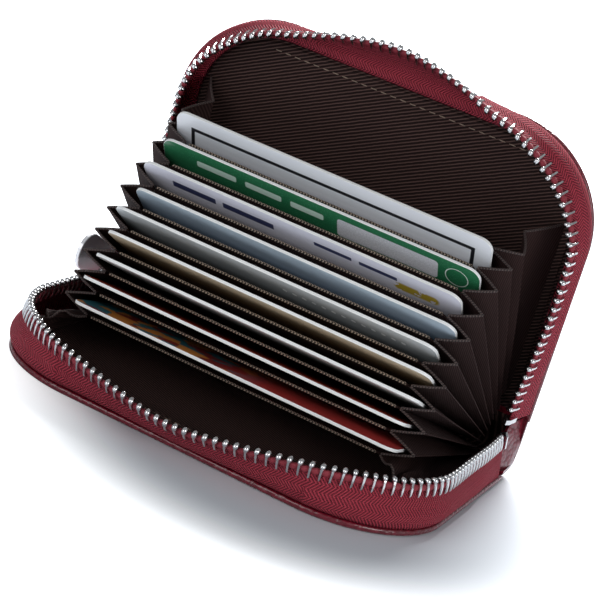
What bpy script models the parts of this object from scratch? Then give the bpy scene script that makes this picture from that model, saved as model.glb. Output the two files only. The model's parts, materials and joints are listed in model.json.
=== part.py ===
"""Zip-around card case, open on its front cover. An accordion of ten cloth dividers holds nine cards.

Metres, +Z up. The front cover lies flat with its outer face centred on the origin, the spine runs along X at the
back (+Y) and the mouth faces -Y. Every leaf behind the front cover hangs on its own empty, one after another, so
that turning one empty about X carries all the leaves behind it. With every empty at zero the case is shut.
"""

import math

import bmesh
import bpy
import numpy as np
from mathutils import Vector

# Cards of the standard size. The dividers, and with them the covers, are cut to suit them
CARD_LENGTH = 0.0856
CARD_HEIGHT = 0.05398
CARD_THICKNESS = 0.00076
CARD_CORNER = 0.00318
# How far a card sticks out of its divider at each side and at the top
CARD_SIDE_SHOWS = 0.0034
CARD_TOP_SHOWS = 0.00298

# The two leather covers. The fold room is what lies between a side fold's crease and the cover's edge
FOLD_ROOM = 0.0073
COVER_DEPTH = 0.0715
COVER_CORNER = 0.0265
LEATHER_THICKNESS = 0.0015
LEATHER_ROUNDING = 0.0005
HINGE_MARGIN = 0.0020

# Cloth on the inside of each cover, and the gap that neighbouring pieces keep
FIT_GAP = 0.0003
LINING_THICKNESS = 0.0004
PANEL_THICKNESS = 0.0004
PANEL_INSET = 0.0006

# Zip tape: a sewn foot on the leather and a wall that leans out at the mouth and in at the sides
SEAM_INSET = 0.0004
TAPE_THICKNESS = 0.0005
TAPE_FOOT = 0.0040
TAPE_WALL = 0.0071
# The wall's lean in degrees, outward positive, at equal steps along the rim from the slider's end to the stops
FRONT_LEANS = (-9, -9, -9, -9.5, -8, 2, 25.5, 44.5, 55, 45, 26, -1, -8, -5, -7, -8, -12)
REAR_LEANS = (-11, -12, -13, -17, -18, -15, 4, 29, 42, 30, 4, -16, -13, -4, -3.5, -9, -15)

# Zip teeth, clamped on the tape's edge
TOOTH_PITCH = 0.0024
TOOTH_WIDTH = 0.00105
TOOTH_LEGS = 0.0030
TOOTH_HEAD = 0.0012
LEG_SPREAD = 0.0020
HEAD_SPREAD = 0.0023
TIP_SPREAD = 0.0013
CORD_SPREAD = 0.0010
CORD_WIDTH = 0.0022
CHAIN_FLANK = 0.00012
CHAIN_START = 0.0004

# Stops at the right-hand end and slider at the left-hand end
STOP_LENGTH = 0.0016
SLIDER_LENGTH = 0.0095
SLIDER_MOUTH = 0.0090
SLIDER_TAIL = 0.0062
SLIDER_PLATE = 0.0009
SLIDER_POST = 0.0024
BAIL_LIFT = 0.00135
BAIL_ROOM = 0.0012
BAIL_THICKNESS = 0.0009
BAIL_WIDTH = 0.0016
PULLER_LENGTH = 0.0300
PULLER_WIDTH = 0.0100
PULLER_THICKNESS = 0.0012
PULLER_BAR = 0.0012
PULLER_ROUNDING = 0.0002
PULLER_SWING = 0.0
# The slider is carried by this pocket and stands at the middle of the shut case
SLIDER_POCKET = 2

# Dividers
DIVIDER_THICKNESS = 0.00035
DIVIDER_CORNER = 0.0020
FLOOR_THICKNESS = 0.0004
POCKET_PITCH = 0.0015
END_PITCH = 0.0038

# Side folds of the accordion
FOLD_THICKNESS = 0.00015
FOLD_GAP = 0.0001
FOLD_SLANT = 0.0100
FOLD_TOP_SLANT = 0.0079
FOLD_START = 0.0012
END_FOLD_START = 0.0050
FOLD_NOSE = 0.0009
FOLD_TOP_NOSE = 0.0003
COVER_SEAM_OUT = 0.0100

# How far each leaf is turned from the one before it, front compartment first, rear compartment last
LEAF_ANGLES = (9.3, 4.75, 4.5, 4.55, 4.85, 5.15, 5.65, 6.5, 6.75, 6.4, 23.4)
# How far in front of its root the first and the last leaf turn: their cloth lets the root draw in as they open
FRONT_TURN_SHIFT = 0.0166
REAR_TURN_SHIFT = 0.00645
# How far each card stands above its pocket's floor, and how far it is pushed along the pocket, front card first
CARD_LIFTS = (0.0046, 0.0038, 0.0043, 0.0038, 0.0024, 0.0008, 0.0008, 0.0011, 0.0030)
CARD_SHIFTS = (0.0013, 0.0005, 0.0013, 0.0012, -0.0006, 0.0008, -0.0013, -0.0004, -0.0013)

DIVIDER_LENGTH = CARD_LENGTH - 2 * CARD_SIDE_SHOWS
DIVIDER_HEIGHT = CARD_HEIGHT - CARD_TOP_SHOWS
COVER_LENGTH = DIVIDER_LENGTH + 2 * (FIT_GAP + FOLD_SLANT + FOLD_ROOM)
COVER_STACK = LEATHER_THICKNESS + LINING_THICKNESS + PANEL_THICKNESS + 2 * FIT_GAP
ROOT_Y = COVER_DEPTH / 2
TAPE_BASE = LEATHER_THICKNESS + FIT_GAP
LEAF_PITCHES = (COVER_STACK + END_PITCH,) + (POCKET_PITCH,) * (len(LEAF_ANGLES) - 2) + (END_PITCH,)
TURN_SHIFTS = (FRONT_TURN_SHIFT,) + (0.0,) * (len(LEAF_ANGLES) - 2) + (REAR_TURN_SHIFT,)
LEAF_COUNT = len(LEAF_ANGLES)
CHAIN_BASE = TAPE_WALL + FIT_GAP
CHAIN_TIP = CHAIN_BASE + TOOTH_LEGS + TOOTH_HEAD

for old in list(bpy.data.objects):
    bpy.data.objects.remove(old, do_unlink=True)


def material(name, colour, roughness, metallic=0.0):
    mat = bpy.data.materials.new(name)
    mat.use_nodes = True
    shader = mat.node_tree.nodes["Principled BSDF"]
    shader.inputs["Base Color"].default_value = (*colour, 1.0)
    shader.inputs["Roughness"].default_value = roughness
    shader.inputs["Metallic"].default_value = metallic
    mat.diffuse_color = (*colour, 1.0)
    return mat


LEATHER = material("leather", (0.16, 0.010, 0.022), 0.42)
TAPE = material("zip_tape", (0.26, 0.022, 0.040), 0.80)
METAL = material("nickel", (0.72, 0.72, 0.74), 0.22, 1.0)
CLOTH = material("twill", (0.022, 0.014, 0.015), 0.75)
CARD_COLOURS = (
    ("card_coral", (0.62, 0.10, 0.05)),
    ("card_red", (0.50, 0.09, 0.04)),
    ("card_ivory", (0.80, 0.76, 0.70)),
    ("card_cream", (0.76, 0.68, 0.54)),
    ("card_grey", (0.50, 0.52, 0.55)),
    ("card_blue", (0.42, 0.50, 0.60)),
    ("card_lavender", (0.66, 0.67, 0.78)),
    ("card_green", (0.02, 0.16, 0.07)),
    ("card_white", (0.80, 0.80, 0.78)),
)


def hang(name, parent, location=(0, 0, 0), turn=0.0):
    """An empty at a pivot, turned about X."""
    empty = bpy.data.objects.new(name, None)
    empty.parent = parent
    empty.location = location
    empty.rotation_euler = (math.radians(turn), 0, 0)
    empty.empty_display_size = 0.004
    bpy.context.scene.collection.objects.link(empty)
    return empty


def piece(name, bm, mat, parent=None, location=(0, 0, 0), crease=35.0):
    """Turns a bmesh into a named object whose faces point out."""
    bmesh.ops.recalc_face_normals(bm, faces=bm.faces)
    mesh = bpy.data.meshes.new(name)
    bm.to_mesh(mesh)
    bm.free()
    mesh.materials.append(mat)
    mesh.shade_smooth()
    mesh.set_sharp_from_angle(angle=math.radians(crease))
    obj = bpy.data.objects.new(name, mesh)
    obj.parent = parent
    obj.location = location
    bpy.context.scene.collection.objects.link(obj)
    return obj


def loft(rings, strip=False):
    """A closed solid through rings that have equal numbers of points. A strip's ring runs out along one side and
    back along the other: its ends are closed with a row of quads, and its thin walls are cut into triangles the
    same way on both sides, so that they stay apart where the wall twists."""
    bm = bmesh.new()
    loops = [[bm.verts.new(p) for p in ring] for ring in rings]
    count = len(loops[0])
    for a, b in zip(loops, loops[1:]):
        for i in range(count):
            j = (i + 1) % count
            if not strip:
                bm.faces.new((a[i], a[j], b[j], b[i]))
            elif i < count // 2:
                bm.faces.new((a[i], a[j], b[j]))
                bm.faces.new((a[i], b[j], b[i]))
            else:
                bm.faces.new((a[i], a[j], b[i]))
                bm.faces.new((a[j], b[j], b[i]))
    for loop in (loops[0], loops[-1]):
        if strip:
            for i in range(count // 2 - 1):
                bm.faces.new((loop[i], loop[i + 1], loop[count - 2 - i], loop[count - 1 - i]))
        else:
            bm.faces.new(loop)
    return bm


def strip_ring(points, thickness):
    """Outline of a strip of one thickness that follows points in a plane, mitred at its bends."""
    runs = [(b - a).normalized() for a, b in zip(points, points[1:])]
    runs = [runs[0]] + runs + [runs[-1]]
    upper, lower = [], []
    for point, before, after in zip(points, runs, runs[1:]):
        out = Vector((-before.y - after.y, before.x + after.x)) / (1 + before.dot(after))
        upper.append(point + out * thickness / 2)
        lower.append(point - out * thickness / 2)
    return upper + lower[::-1]


def slab(outline, low, high):
    """An outline in X and depth, extruded between two heights. Depth runs towards -Y."""
    bm = bmesh.new()
    face = bm.faces.new([bm.verts.new((x, -depth, low)) for x, depth in outline])
    grown = bmesh.ops.extrude_face_region(bm, geom=[face])
    top = [g for g in grown["geom"] if isinstance(g, bmesh.types.BMVert)]
    bmesh.ops.translate(bm, vec=(0, 0, high - low), verts=top)
    return bm


def soften(obj, width, segments=2, angle=40.0):
    bevel = obj.modifiers.new("soft_edge", "BEVEL")
    bevel.width = width
    bevel.segments = segments
    bevel.limit_method = "ANGLE"
    bevel.angle_limit = math.radians(angle)
    return bevel


def rounded(x0, x1, low, high, radius, steps=4, all_corners=True):
    """A rectangle in X and depth with rounded corners: all four, or only the two at the high edge."""
    corners = [(x1 - radius, high - radius, 0), (x0 + radius, high - radius, 90)]
    if all_corners:
        corners += [(x0 + radius, low + radius, 180), (x1 - radius, low + radius, 270)]
    points = []
    for cx, cy, start in corners:
        for i in range(steps + 1):
            a = math.radians(start + 90 * i / steps)
            points.append((cx + radius * math.cos(a), cy + radius * math.sin(a)))
    if not all_corners:
        points += [(x0, low), (x1, low)]
    return points


# The rim: a path round the cover's two sides and mouth, from the spine's left end to its right end

SIDE_RUN = COVER_DEPTH - COVER_CORNER
MOUTH_RUN = COVER_LENGTH - 2 * COVER_CORNER
RIM_RADIUS = COVER_CORNER - SEAM_INSET
CORNER_RUN = RIM_RADIUS * math.pi / 2
RIM_LENGTH = 2 * SIDE_RUN + 2 * CORNER_RUN + MOUTH_RUN


def lean_at(s, leans):
    """The tape's lean from upright in radians, outward positive, at a distance along the rim: a smooth curve
    through the stated leans, the Catmull-Rom spline."""
    last = len(leans) - 1
    place = s / RIM_LENGTH * last
    i = min(max(int(place), 0), last - 1)
    t = place - i
    a, b, c, d = leans[max(i - 1, 0)], leans[i], leans[i + 1], leans[min(i + 2, last)]
    return math.radians(b + t / 2 * (c - a + t * (2 * a - 5 * b + 4 * c - d + t * (3 * b - 3 * c + d - a))))


def rim_at(s):
    """Point (x, depth) and outward direction at a distance along the rim."""
    half = COVER_LENGTH / 2
    mirrored = s > RIM_LENGTH / 2
    if mirrored:
        s = RIM_LENGTH - s
    if s < SIDE_RUN:
        x, depth, nx, nd = SEAM_INSET - half, s, -1.0, 0.0
    elif s < SIDE_RUN + CORNER_RUN:
        a = math.pi - (s - SIDE_RUN) / RIM_RADIUS
        nx, nd = math.cos(a), math.sin(a)
        x = COVER_CORNER - half + RIM_RADIUS * nx
        depth = SIDE_RUN + RIM_RADIUS * nd
    else:
        x = COVER_CORNER - half + s - SIDE_RUN - CORNER_RUN
        depth, nx, nd = COVER_DEPTH - SEAM_INSET, 0.0, 1.0
    return (-x, depth, -nx, nd) if mirrored else (x, depth, nx, nd)


def on_tape(s, across, along, leans):
    """Point at a distance along the rim, across the tape (outward positive) and along it from the seam upward."""
    x, depth, nx, nd = rim_at(s)
    lean = lean_at(s, leans)
    out = along * math.sin(lean) + across * math.cos(lean)
    up = along * math.cos(lean) - across * math.sin(lean)
    return Vector((x + nx * out, depth + nd * out, TAPE_BASE + up))


def tape_ring(s, leans):
    """Section of the tape: the foot under the lining and the wall, leaning as it does there."""
    x, depth, nx, nd = rim_at(s)
    lean = lean_at(s, leans)
    t = TAPE_THICKNESS
    inner = -t * math.cos(lean) + t * (1 - math.sin(lean)) * math.tan(lean)
    profile = [(-TAPE_FOOT, 0.0), (0.0, 0.0)]
    profile.append((TAPE_WALL * math.sin(lean), TAPE_WALL * math.cos(lean)))
    profile.append((profile[2][0] - t * math.cos(lean), profile[2][1] + t * math.sin(lean)))
    profile += [(inner, t), (-TAPE_FOOT, t)]
    return [Vector((x + nx * o, depth + nd * o, TAPE_BASE + h)) for o, h in profile]


def rim_stations():
    side = np.linspace(CHAIN_START, SIDE_RUN, 4)
    corner = SIDE_RUN + np.linspace(0, CORNER_RUN, 11)[1:]
    mouth = SIDE_RUN + CORNER_RUN + np.linspace(0, MOUTH_RUN / 2, 9)[1:]
    half = np.concatenate([side, corner, mouth])
    return np.concatenate([half, RIM_LENGTH - half[-2::-1]])


TAPE_MIDDLE = -TAPE_THICKNESS / 2
TOOTH_PROFILE = [
    (TAPE_MIDDLE - LEG_SPREAD / 2, CHAIN_BASE),
    (TAPE_MIDDLE + LEG_SPREAD / 2, CHAIN_BASE),
    (TAPE_MIDDLE + HEAD_SPREAD / 2, CHAIN_BASE + TOOTH_LEGS),
    (TAPE_MIDDLE + TIP_SPREAD / 2, CHAIN_TIP),
    (TAPE_MIDDLE - TIP_SPREAD / 2, CHAIN_TIP),
    (TAPE_MIDDLE - HEAD_SPREAD / 2, CHAIN_BASE + TOOTH_LEGS),
]
CORD_PROFILE = [
    (TAPE_MIDDLE - CORD_SPREAD / 2, CHAIN_BASE),
    (TAPE_MIDDLE + CORD_SPREAD / 2, CHAIN_BASE),
    (TAPE_MIDDLE + CORD_SPREAD / 2, CHAIN_BASE + CORD_WIDTH * 0.8),
    (TAPE_MIDDLE + CORD_SPREAD / 4, CHAIN_BASE + CORD_WIDTH),
    (TAPE_MIDDLE - CORD_SPREAD / 4, CHAIN_BASE + CORD_WIDTH),
    (TAPE_MIDDLE - CORD_SPREAD / 2, CHAIN_BASE + CORD_WIDTH * 0.8),
]


def chain_rings(offset, leans):
    """Rings of one tooth row. Teeth sit at an equal pitch along the row's own curve; offset is in pitches."""
    fine = np.linspace(CHAIN_START, RIM_LENGTH - CHAIN_START - STOP_LENGTH, 3001)
    middle = np.array([on_tape(s, TAPE_MIDDLE, CHAIN_BASE + TOOTH_LEGS * 0.8, leans) for s in fine])
    length = np.concatenate([[0.0], np.cumsum(np.linalg.norm(np.diff(middle, axis=0), axis=1))])
    half = TOOTH_WIDTH / 2
    rings = [[on_tape(fine[0], a, b, leans) for a, b in CORD_PROFILE]]
    centre = TOOTH_PITCH * (0.5 + offset)
    while centre + half + CHAIN_FLANK < length[-1]:
        for shift, profile in (
            (-half - CHAIN_FLANK, CORD_PROFILE),
            (-half, TOOTH_PROFILE),
            (half, TOOTH_PROFILE),
            (half + CHAIN_FLANK, CORD_PROFILE),
        ):
            s = float(np.interp(centre + shift, length, fine))
            rings.append([on_tape(s, a, b, leans) for a, b in profile])
        centre += TOOTH_PITCH
    rings.append([on_tape(fine[-1], a, b, leans) for a, b in CORD_PROFILE])
    return rings


def cover(prefix, parent, origin, base, side, offset, leans):
    """Leather, lining, panel, tape, teeth and end stop of one cover. Heights run from the leather's outer face."""

    def placed(rings):
        return [[(p[0], -p[1], base + side * p[2]) for p in ring] for ring in rings]

    half = COVER_LENGTH / 2
    outline = rounded(-half, half, -HINGE_MARGIN, COVER_DEPTH, COVER_CORNER, 12, False)
    bm = slab(outline, base, base + side * LEATHER_THICKNESS)
    leather = piece(prefix + "_leather", bm, LEATHER, parent, origin)
    soften(leather, LEATHER_ROUNDING)

    inner = SEAM_INSET + TAPE_FOOT + FIT_GAP
    low = TAPE_BASE
    outline = rounded(inner - half, half - inner, 0, COVER_DEPTH - inner, COVER_CORNER - inner, 10, False)
    bm = slab(outline, base + side * low, base + side * (low + LINING_THICKNESS))
    piece(prefix + "_lining", bm, CLOTH, parent, origin)

    inner += PANEL_INSET
    low += LINING_THICKNESS + FIT_GAP
    outline = rounded(inner - half, half - inner, 0, COVER_DEPTH - inner, COVER_CORNER - inner, 10, False)
    bm = slab(outline, base + side * low, base + side * (low + PANEL_THICKNESS))
    piece(prefix + "_panel", bm, CLOTH, parent, origin)

    piece(prefix + "_tape", loft(placed([tape_ring(s, leans) for s in rim_stations()])), TAPE, parent, origin)
    piece(prefix + "_teeth", loft(placed(chain_rings(offset, leans))), METAL, parent, origin, 30)

    end = RIM_LENGTH - CHAIN_START
    rings = []
    for s in (end - STOP_LENGTH + FIT_GAP, end):
        rings.append([on_tape(s, a, b, leans) for a, b in TOOTH_PROFILE])
    piece(prefix + "_stop", loft(placed(rings)), METAL, parent, origin)


# Pivots. Between two dividers hangs a pocket, halfway round, and the next divider hangs on it.
# leaf_spots holds each leaf's root (y, z) and how far it is turned; the front cover's inner face comes first.

leaves = [None]
pockets = [None]
leaf_spots = [(Vector((ROOT_Y, COVER_STACK)), 0.0)]
parent = None
turned = 0.0
root = Vector((ROOT_Y, 0.0))
behind = ROOT_Y


def step(pitch, angle, shift):
    """Where the next root lies and how far it is turned, after a hinge that stands shift in front of the root."""
    a = math.radians(turned)
    pivot = root + pitch * Vector((math.sin(a), math.cos(a))) + shift * Vector((-math.cos(a), math.sin(a)))
    b = math.radians(turned + angle)
    return pivot - shift * Vector((-math.cos(b), math.sin(b))), turned + angle


for number, (pitch, angle, shift) in enumerate(zip(LEAF_PITCHES, LEAF_ANGLES, TURN_SHIFTS), 1):
    if 1 < number < LEAF_COUNT:
        pitch, angle = pitch / 2, angle / 2
        root, turned = step(pitch, angle, 0.0)
        parent = hang(f"pivot_pocket_{number - 1:02d}", parent, (0, behind, pitch), -angle)
        pockets.append(parent)
        behind = 0.0
    root, turned = step(pitch, angle, shift)
    parent = hang(f"pivot_leaf_{number:02d}", parent, (0, behind - shift, pitch), -angle)
    behind = shift
    leaves.append(parent)
    leaf_spots.append((root, turned))

cover("front", None, (0, ROOT_Y, 0), 0.0, 1, 0.0, FRONT_LEANS)
cover("rear", leaves[-1], (0, REAR_TURN_SHIFT, 0), COVER_STACK, -1, 0.5, REAR_LEANS)


def across_leaf(index, depth, off):
    """Point (y, z) on a leaf: depth from its root, off towards the rear. Index 0 is the front cover's inner face."""
    root, turned = leaf_spots[index]
    turn = math.radians(turned)
    run = Vector((-math.cos(turn), math.sin(turn)))
    out = Vector((math.sin(turn), math.cos(turn)))
    return root + run * depth + out * off


# Dividers, each a cloth leaf with a fold along its foot that closes the pocket behind it

for number in range(1, LEAF_COUNT):
    half = DIVIDER_LENGTH / 2
    t = DIVIDER_THICKNESS / 2
    outline = rounded(-half, half, 0, DIVIDER_HEIGHT, DIVIDER_CORNER, 3, False)
    bm = slab(outline, -t, t)
    if number < LEAF_COUNT - 1:
        far = POCKET_PITCH - FIT_GAP - t
    else:
        far = END_PITCH - REAR_TURN_SHIFT * math.sin(math.radians(LEAF_ANGLES[-1])) - FIT_GAP
    bmesh.ops.bisect_plane(
        bm,
        geom=bm.verts[:] + bm.edges[:] + bm.faces[:],
        plane_co=(0, -FLOOR_THICKNESS, 0),
        plane_no=(0, 1, 0),
    )
    foot = [
        f
        for f in bm.faces
        if f.calc_center_median().z > t * 0.99 and f.calc_center_median().y > -FLOOR_THICKNESS
    ]
    grown = bmesh.ops.extrude_face_region(bm, geom=foot)
    bmesh.ops.delete(bm, geom=foot, context="FACES_ONLY")
    moved = [g for g in grown["geom"] if isinstance(g, bmesh.types.BMVert)]
    bmesh.ops.translate(bm, vec=(0, 0, far - t), verts=moved)
    piece(f"divider_{number:02d}", bm, CLOTH, leaves[number], (0, TURN_SHIFTS[number - 1], 0))

# Cards, each halfway between two dividers

for number, (lift, shift) in enumerate(zip(CARD_LIFTS, CARD_SHIFTS), 1):
    half = CARD_LENGTH / 2
    outline = rounded(shift - half, shift + half, 0, CARD_HEIGHT, CARD_CORNER, 5)
    bm = slab(outline, -CARD_THICKNESS / 2, CARD_THICKNESS / 2)
    name, colour = CARD_COLOURS[number - 1]
    piece(f"card_{number:02d}", bm, material(name, colour, 0.35), pockets[number], (0, -lift, 0))

# Side folds. A strip of cloth runs from one leaf's side out to a crease and back to the next leaf's side. The rear
# one has a second crease, turned in, and is sewn to the cover further out.


def fold_route(number, part, width):
    """Route (x from the divider's side, distance across the gap) of a fold, part way up from its foot."""
    slant = FOLD_SLANT + (FOLD_TOP_SLANT - FOLD_SLANT) * part
    nose = (FOLD_NOSE + (FOLD_TOP_NOSE - FOLD_NOSE) * part) / 2
    near, far = FOLD_GAP / 2 + FOLD_THICKNESS / 2, width - FOLD_GAP / 2 - FOLD_THICKNESS / 2
    if number == LEAF_COUNT:
        crease, valley = width * (0.30 - 0.17 * part), width * (0.60 - 0.06 * part)
        nose = min(nose, width * 0.08)
        out, back = FOLD_SLANT * (1 - 0.28 * part), FOLD_SLANT * (0.70 - 0.36 * part)
        return [
            (0, near),
            (out, crease - nose),
            (out, crease + nose),
            (back, valley - nose),
            (back, valley + nose),
            (COVER_SEAM_OUT, width - FIT_GAP),
        ]
    reach = math.sqrt(slant * slant - width * width / 4)
    return [(0, near), (reach, width / 2 - nose), (reach, width / 2 + nose), (0, far)]


bpy.context.view_layer.update()
for number in range(1, LEAF_COUNT + 1):
    carrier = leaves[number] if number in (1, LEAF_COUNT) else pockets[number - 1]
    for side, word in ((-1, "left"), (1, "right")):
        rings = []
        for part in (0.0, 0.35, 0.7, 1.0):
            start = END_FOLD_START if number in (1, LEAF_COUNT) else FOLD_START
            depth = start + part * (DIVIDER_HEIGHT - start)
            low = across_leaf(number - 1, depth, 0)
            high = across_leaf(number, depth, 0)
            spread = (high - low).normalized()
            route = [Vector(p) for p in fold_route(number, part, (high - low).length)]
            ring = []
            for x, along in strip_ring(route, FOLD_THICKNESS):
                point = low + spread * along
                ring.append(Vector((side * (DIVIDER_LENGTH / 2 + FIT_GAP + x), point.x, point.y)))
            rings.append(ring)
        fold = piece(f"fold_{word}_{number:02d}", loft(rings, strip=True), CLOTH, carrier)
        fold.matrix_parent_inverse = carrier.matrix_world.inverted()

# Spine: one strip of leather that bends from the front cover's back edge up to the rear cover's

start = Vector((ROOT_Y + HINGE_MARGIN + FIT_GAP, LEATHER_THICKNESS / 2))
end = across_leaf(LEAF_COUNT, -HINGE_MARGIN - FIT_GAP, COVER_STACK - LEATHER_THICKNESS / 2)
turn = math.radians(leaf_spots[-1][1])
gone = Vector((-math.cos(turn), math.sin(turn)))
pull = (end - start).length * 0.46
knots = [start, start + Vector((pull, 0)), end - gone * pull, end]
outer, inner = [], []
for i in range(13):
    t = i / 12
    weights = [(1 - t) ** 3, 3 * t * (1 - t) ** 2, 3 * t * t * (1 - t), t**3]
    point = sum((w * k for w, k in zip(weights, knots)), Vector((0, 0)))
    weights = [3 * (1 - t) ** 2, 6 * t * (1 - t), 3 * t * t]
    run = sum((w * (b - a) for w, a, b in zip(weights, knots, knots[1:])), Vector((0, 0))).normalized()
    away = Vector((run.y, -run.x)) * LEATHER_THICKNESS / 2
    outer.append(point + away)
    inner.append(point - away)
section = outer + inner[::-1]
rings = [[Vector((x, p.x, p.y)) for p in section] for x in (-COVER_LENGTH / 2, COVER_LENGTH / 2)]
spine = piece("spine_leather", loft(rings), LEATHER)

# Slider: two plates either side of the tooth rows, joined by a post between the rows' ends

carrier = pockets[SLIDER_POCKET]
rise = POCKET_PITCH * (LEAF_COUNT / 2 - SLIDER_POCKET - 0.5)
chain_mid = on_tape(CHAIN_START, TAPE_MIDDLE, CHAIN_BASE + TOOTH_LEGS, FRONT_LEANS)
slot = HEAD_SPREAD + 6 * FIT_GAP
outer_x = chain_mid.x - slot / 2 - SLIDER_PLATE
inner_x = chain_mid.x + slot / 2
front_end = 0.0025
back_end = front_end - SLIDER_LENGTH
shape = []
for depth, width in (
    (front_end, SLIDER_MOUTH),
    (front_end - SLIDER_LENGTH * 0.45, SLIDER_MOUTH),
    (back_end, SLIDER_TAIL),
):
    shape.append((depth, width / 2))
ring = [(d, w) for d, w in shape] + [(d, -w) for d, w in reversed(shape)]


def plate(x0, x1):
    return loft([[Vector((x, -d, w)) for d, w in ring] for x in (x0, x1)])


def box(x0, x1, d0, d1, w0, w1):
    return loft([[Vector((x, -d, w)) for d, w in ((d0, w0), (d1, w0), (d1, w1), (d0, w1))] for x in (x0, x1)])


def unite(obj, bm):
    """Joins another closed shape to an object with an exact union."""
    tool = piece(obj.name + "_add", bm, obj.data.materials[0], obj.parent, obj.location)
    tool.hide_render = True
    tool.display_type = "WIRE"
    union = obj.modifiers.new("join", "BOOLEAN")
    union.operation = "UNION"
    union.solver = "EXACT"
    union.object = tool


slider = piece("slider", plate(outer_x, outer_x + SLIDER_PLATE), METAL, carrier, (0, 0, rise))
unite(slider, plate(inner_x, inner_x + SLIDER_PLATE))
lap = SLIDER_PLATE / 2
unite(slider, box(outer_x + lap, inner_x + lap, back_end + 0.001, back_end + 0.001 + SLIDER_POST, -0.0013, 0.0013))

# A bail on the slider's outer plate: two legs and a bridge, with the puller's crossbar under the bridge

hinge_depth = front_end - SLIDER_LENGTH / 2
hinge_x = outer_x - BAIL_LIFT
bridge_x = hinge_x - BAIL_ROOM
for end in (-1, 1):
    leg = hinge_depth + end * (BAIL_ROOM + BAIL_THICKNESS / 2)
    near, far = leg - BAIL_THICKNESS / 2, leg + BAIL_THICKNESS / 2
    unite(slider, box(bridge_x - BAIL_THICKNESS / 2, outer_x + lap, near, far, -BAIL_WIDTH / 2, BAIL_WIDTH / 2))
reach = BAIL_ROOM + BAIL_THICKNESS / 2
near, far = hinge_depth - reach, hinge_depth + reach
unite(slider, box(bridge_x - BAIL_THICKNESS, bridge_x, near, far, -BAIL_WIDTH / 2, BAIL_WIDTH / 2))

# Puller: a flat tab with a round end, slotted where the bail passes through it

swing = hang("pivot_puller", carrier, (hinge_x, -hinge_depth, rise))
swing.rotation_euler = (0, 0, math.radians(PULLER_SWING))
bar = PULLER_BAR / 2
neck = BAIL_WIDTH / 2 + 2 * FIT_GAP + PULLER_BAR
slot_end = bar + BAIL_ROOM + BAIL_THICKNESS + 2 * FIT_GAP
outline = [(-bar, -neck), (slot_end, -neck)]
radius = PULLER_WIDTH / 2
for i in range(13):
    a = math.radians(-90 + 180 * i / 12)
    outline.append((PULLER_LENGTH - radius + radius * math.cos(a), radius * math.sin(a)))
outline += [(slot_end, neck), (-bar, neck)]
half = PULLER_THICKNESS / 2
puller = piece("puller", loft([[Vector((x, -d, w)) for d, w in outline] for x in (-half, half)]), METAL, swing)
cut = box(-PULLER_THICKNESS, PULLER_THICKNESS, bar, slot_end, -neck + PULLER_BAR, neck - PULLER_BAR)
cutter = piece("puller_slot", cut, METAL, swing)
cutter.hide_render = True
cutter.display_type = "WIRE"
slotted = puller.modifiers.new("slot", "BOOLEAN")
slotted.operation = "DIFFERENCE"
slotted.solver = "EXACT"
slotted.object = cutter
soften(puller, PULLER_ROUNDING, 1)
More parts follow.
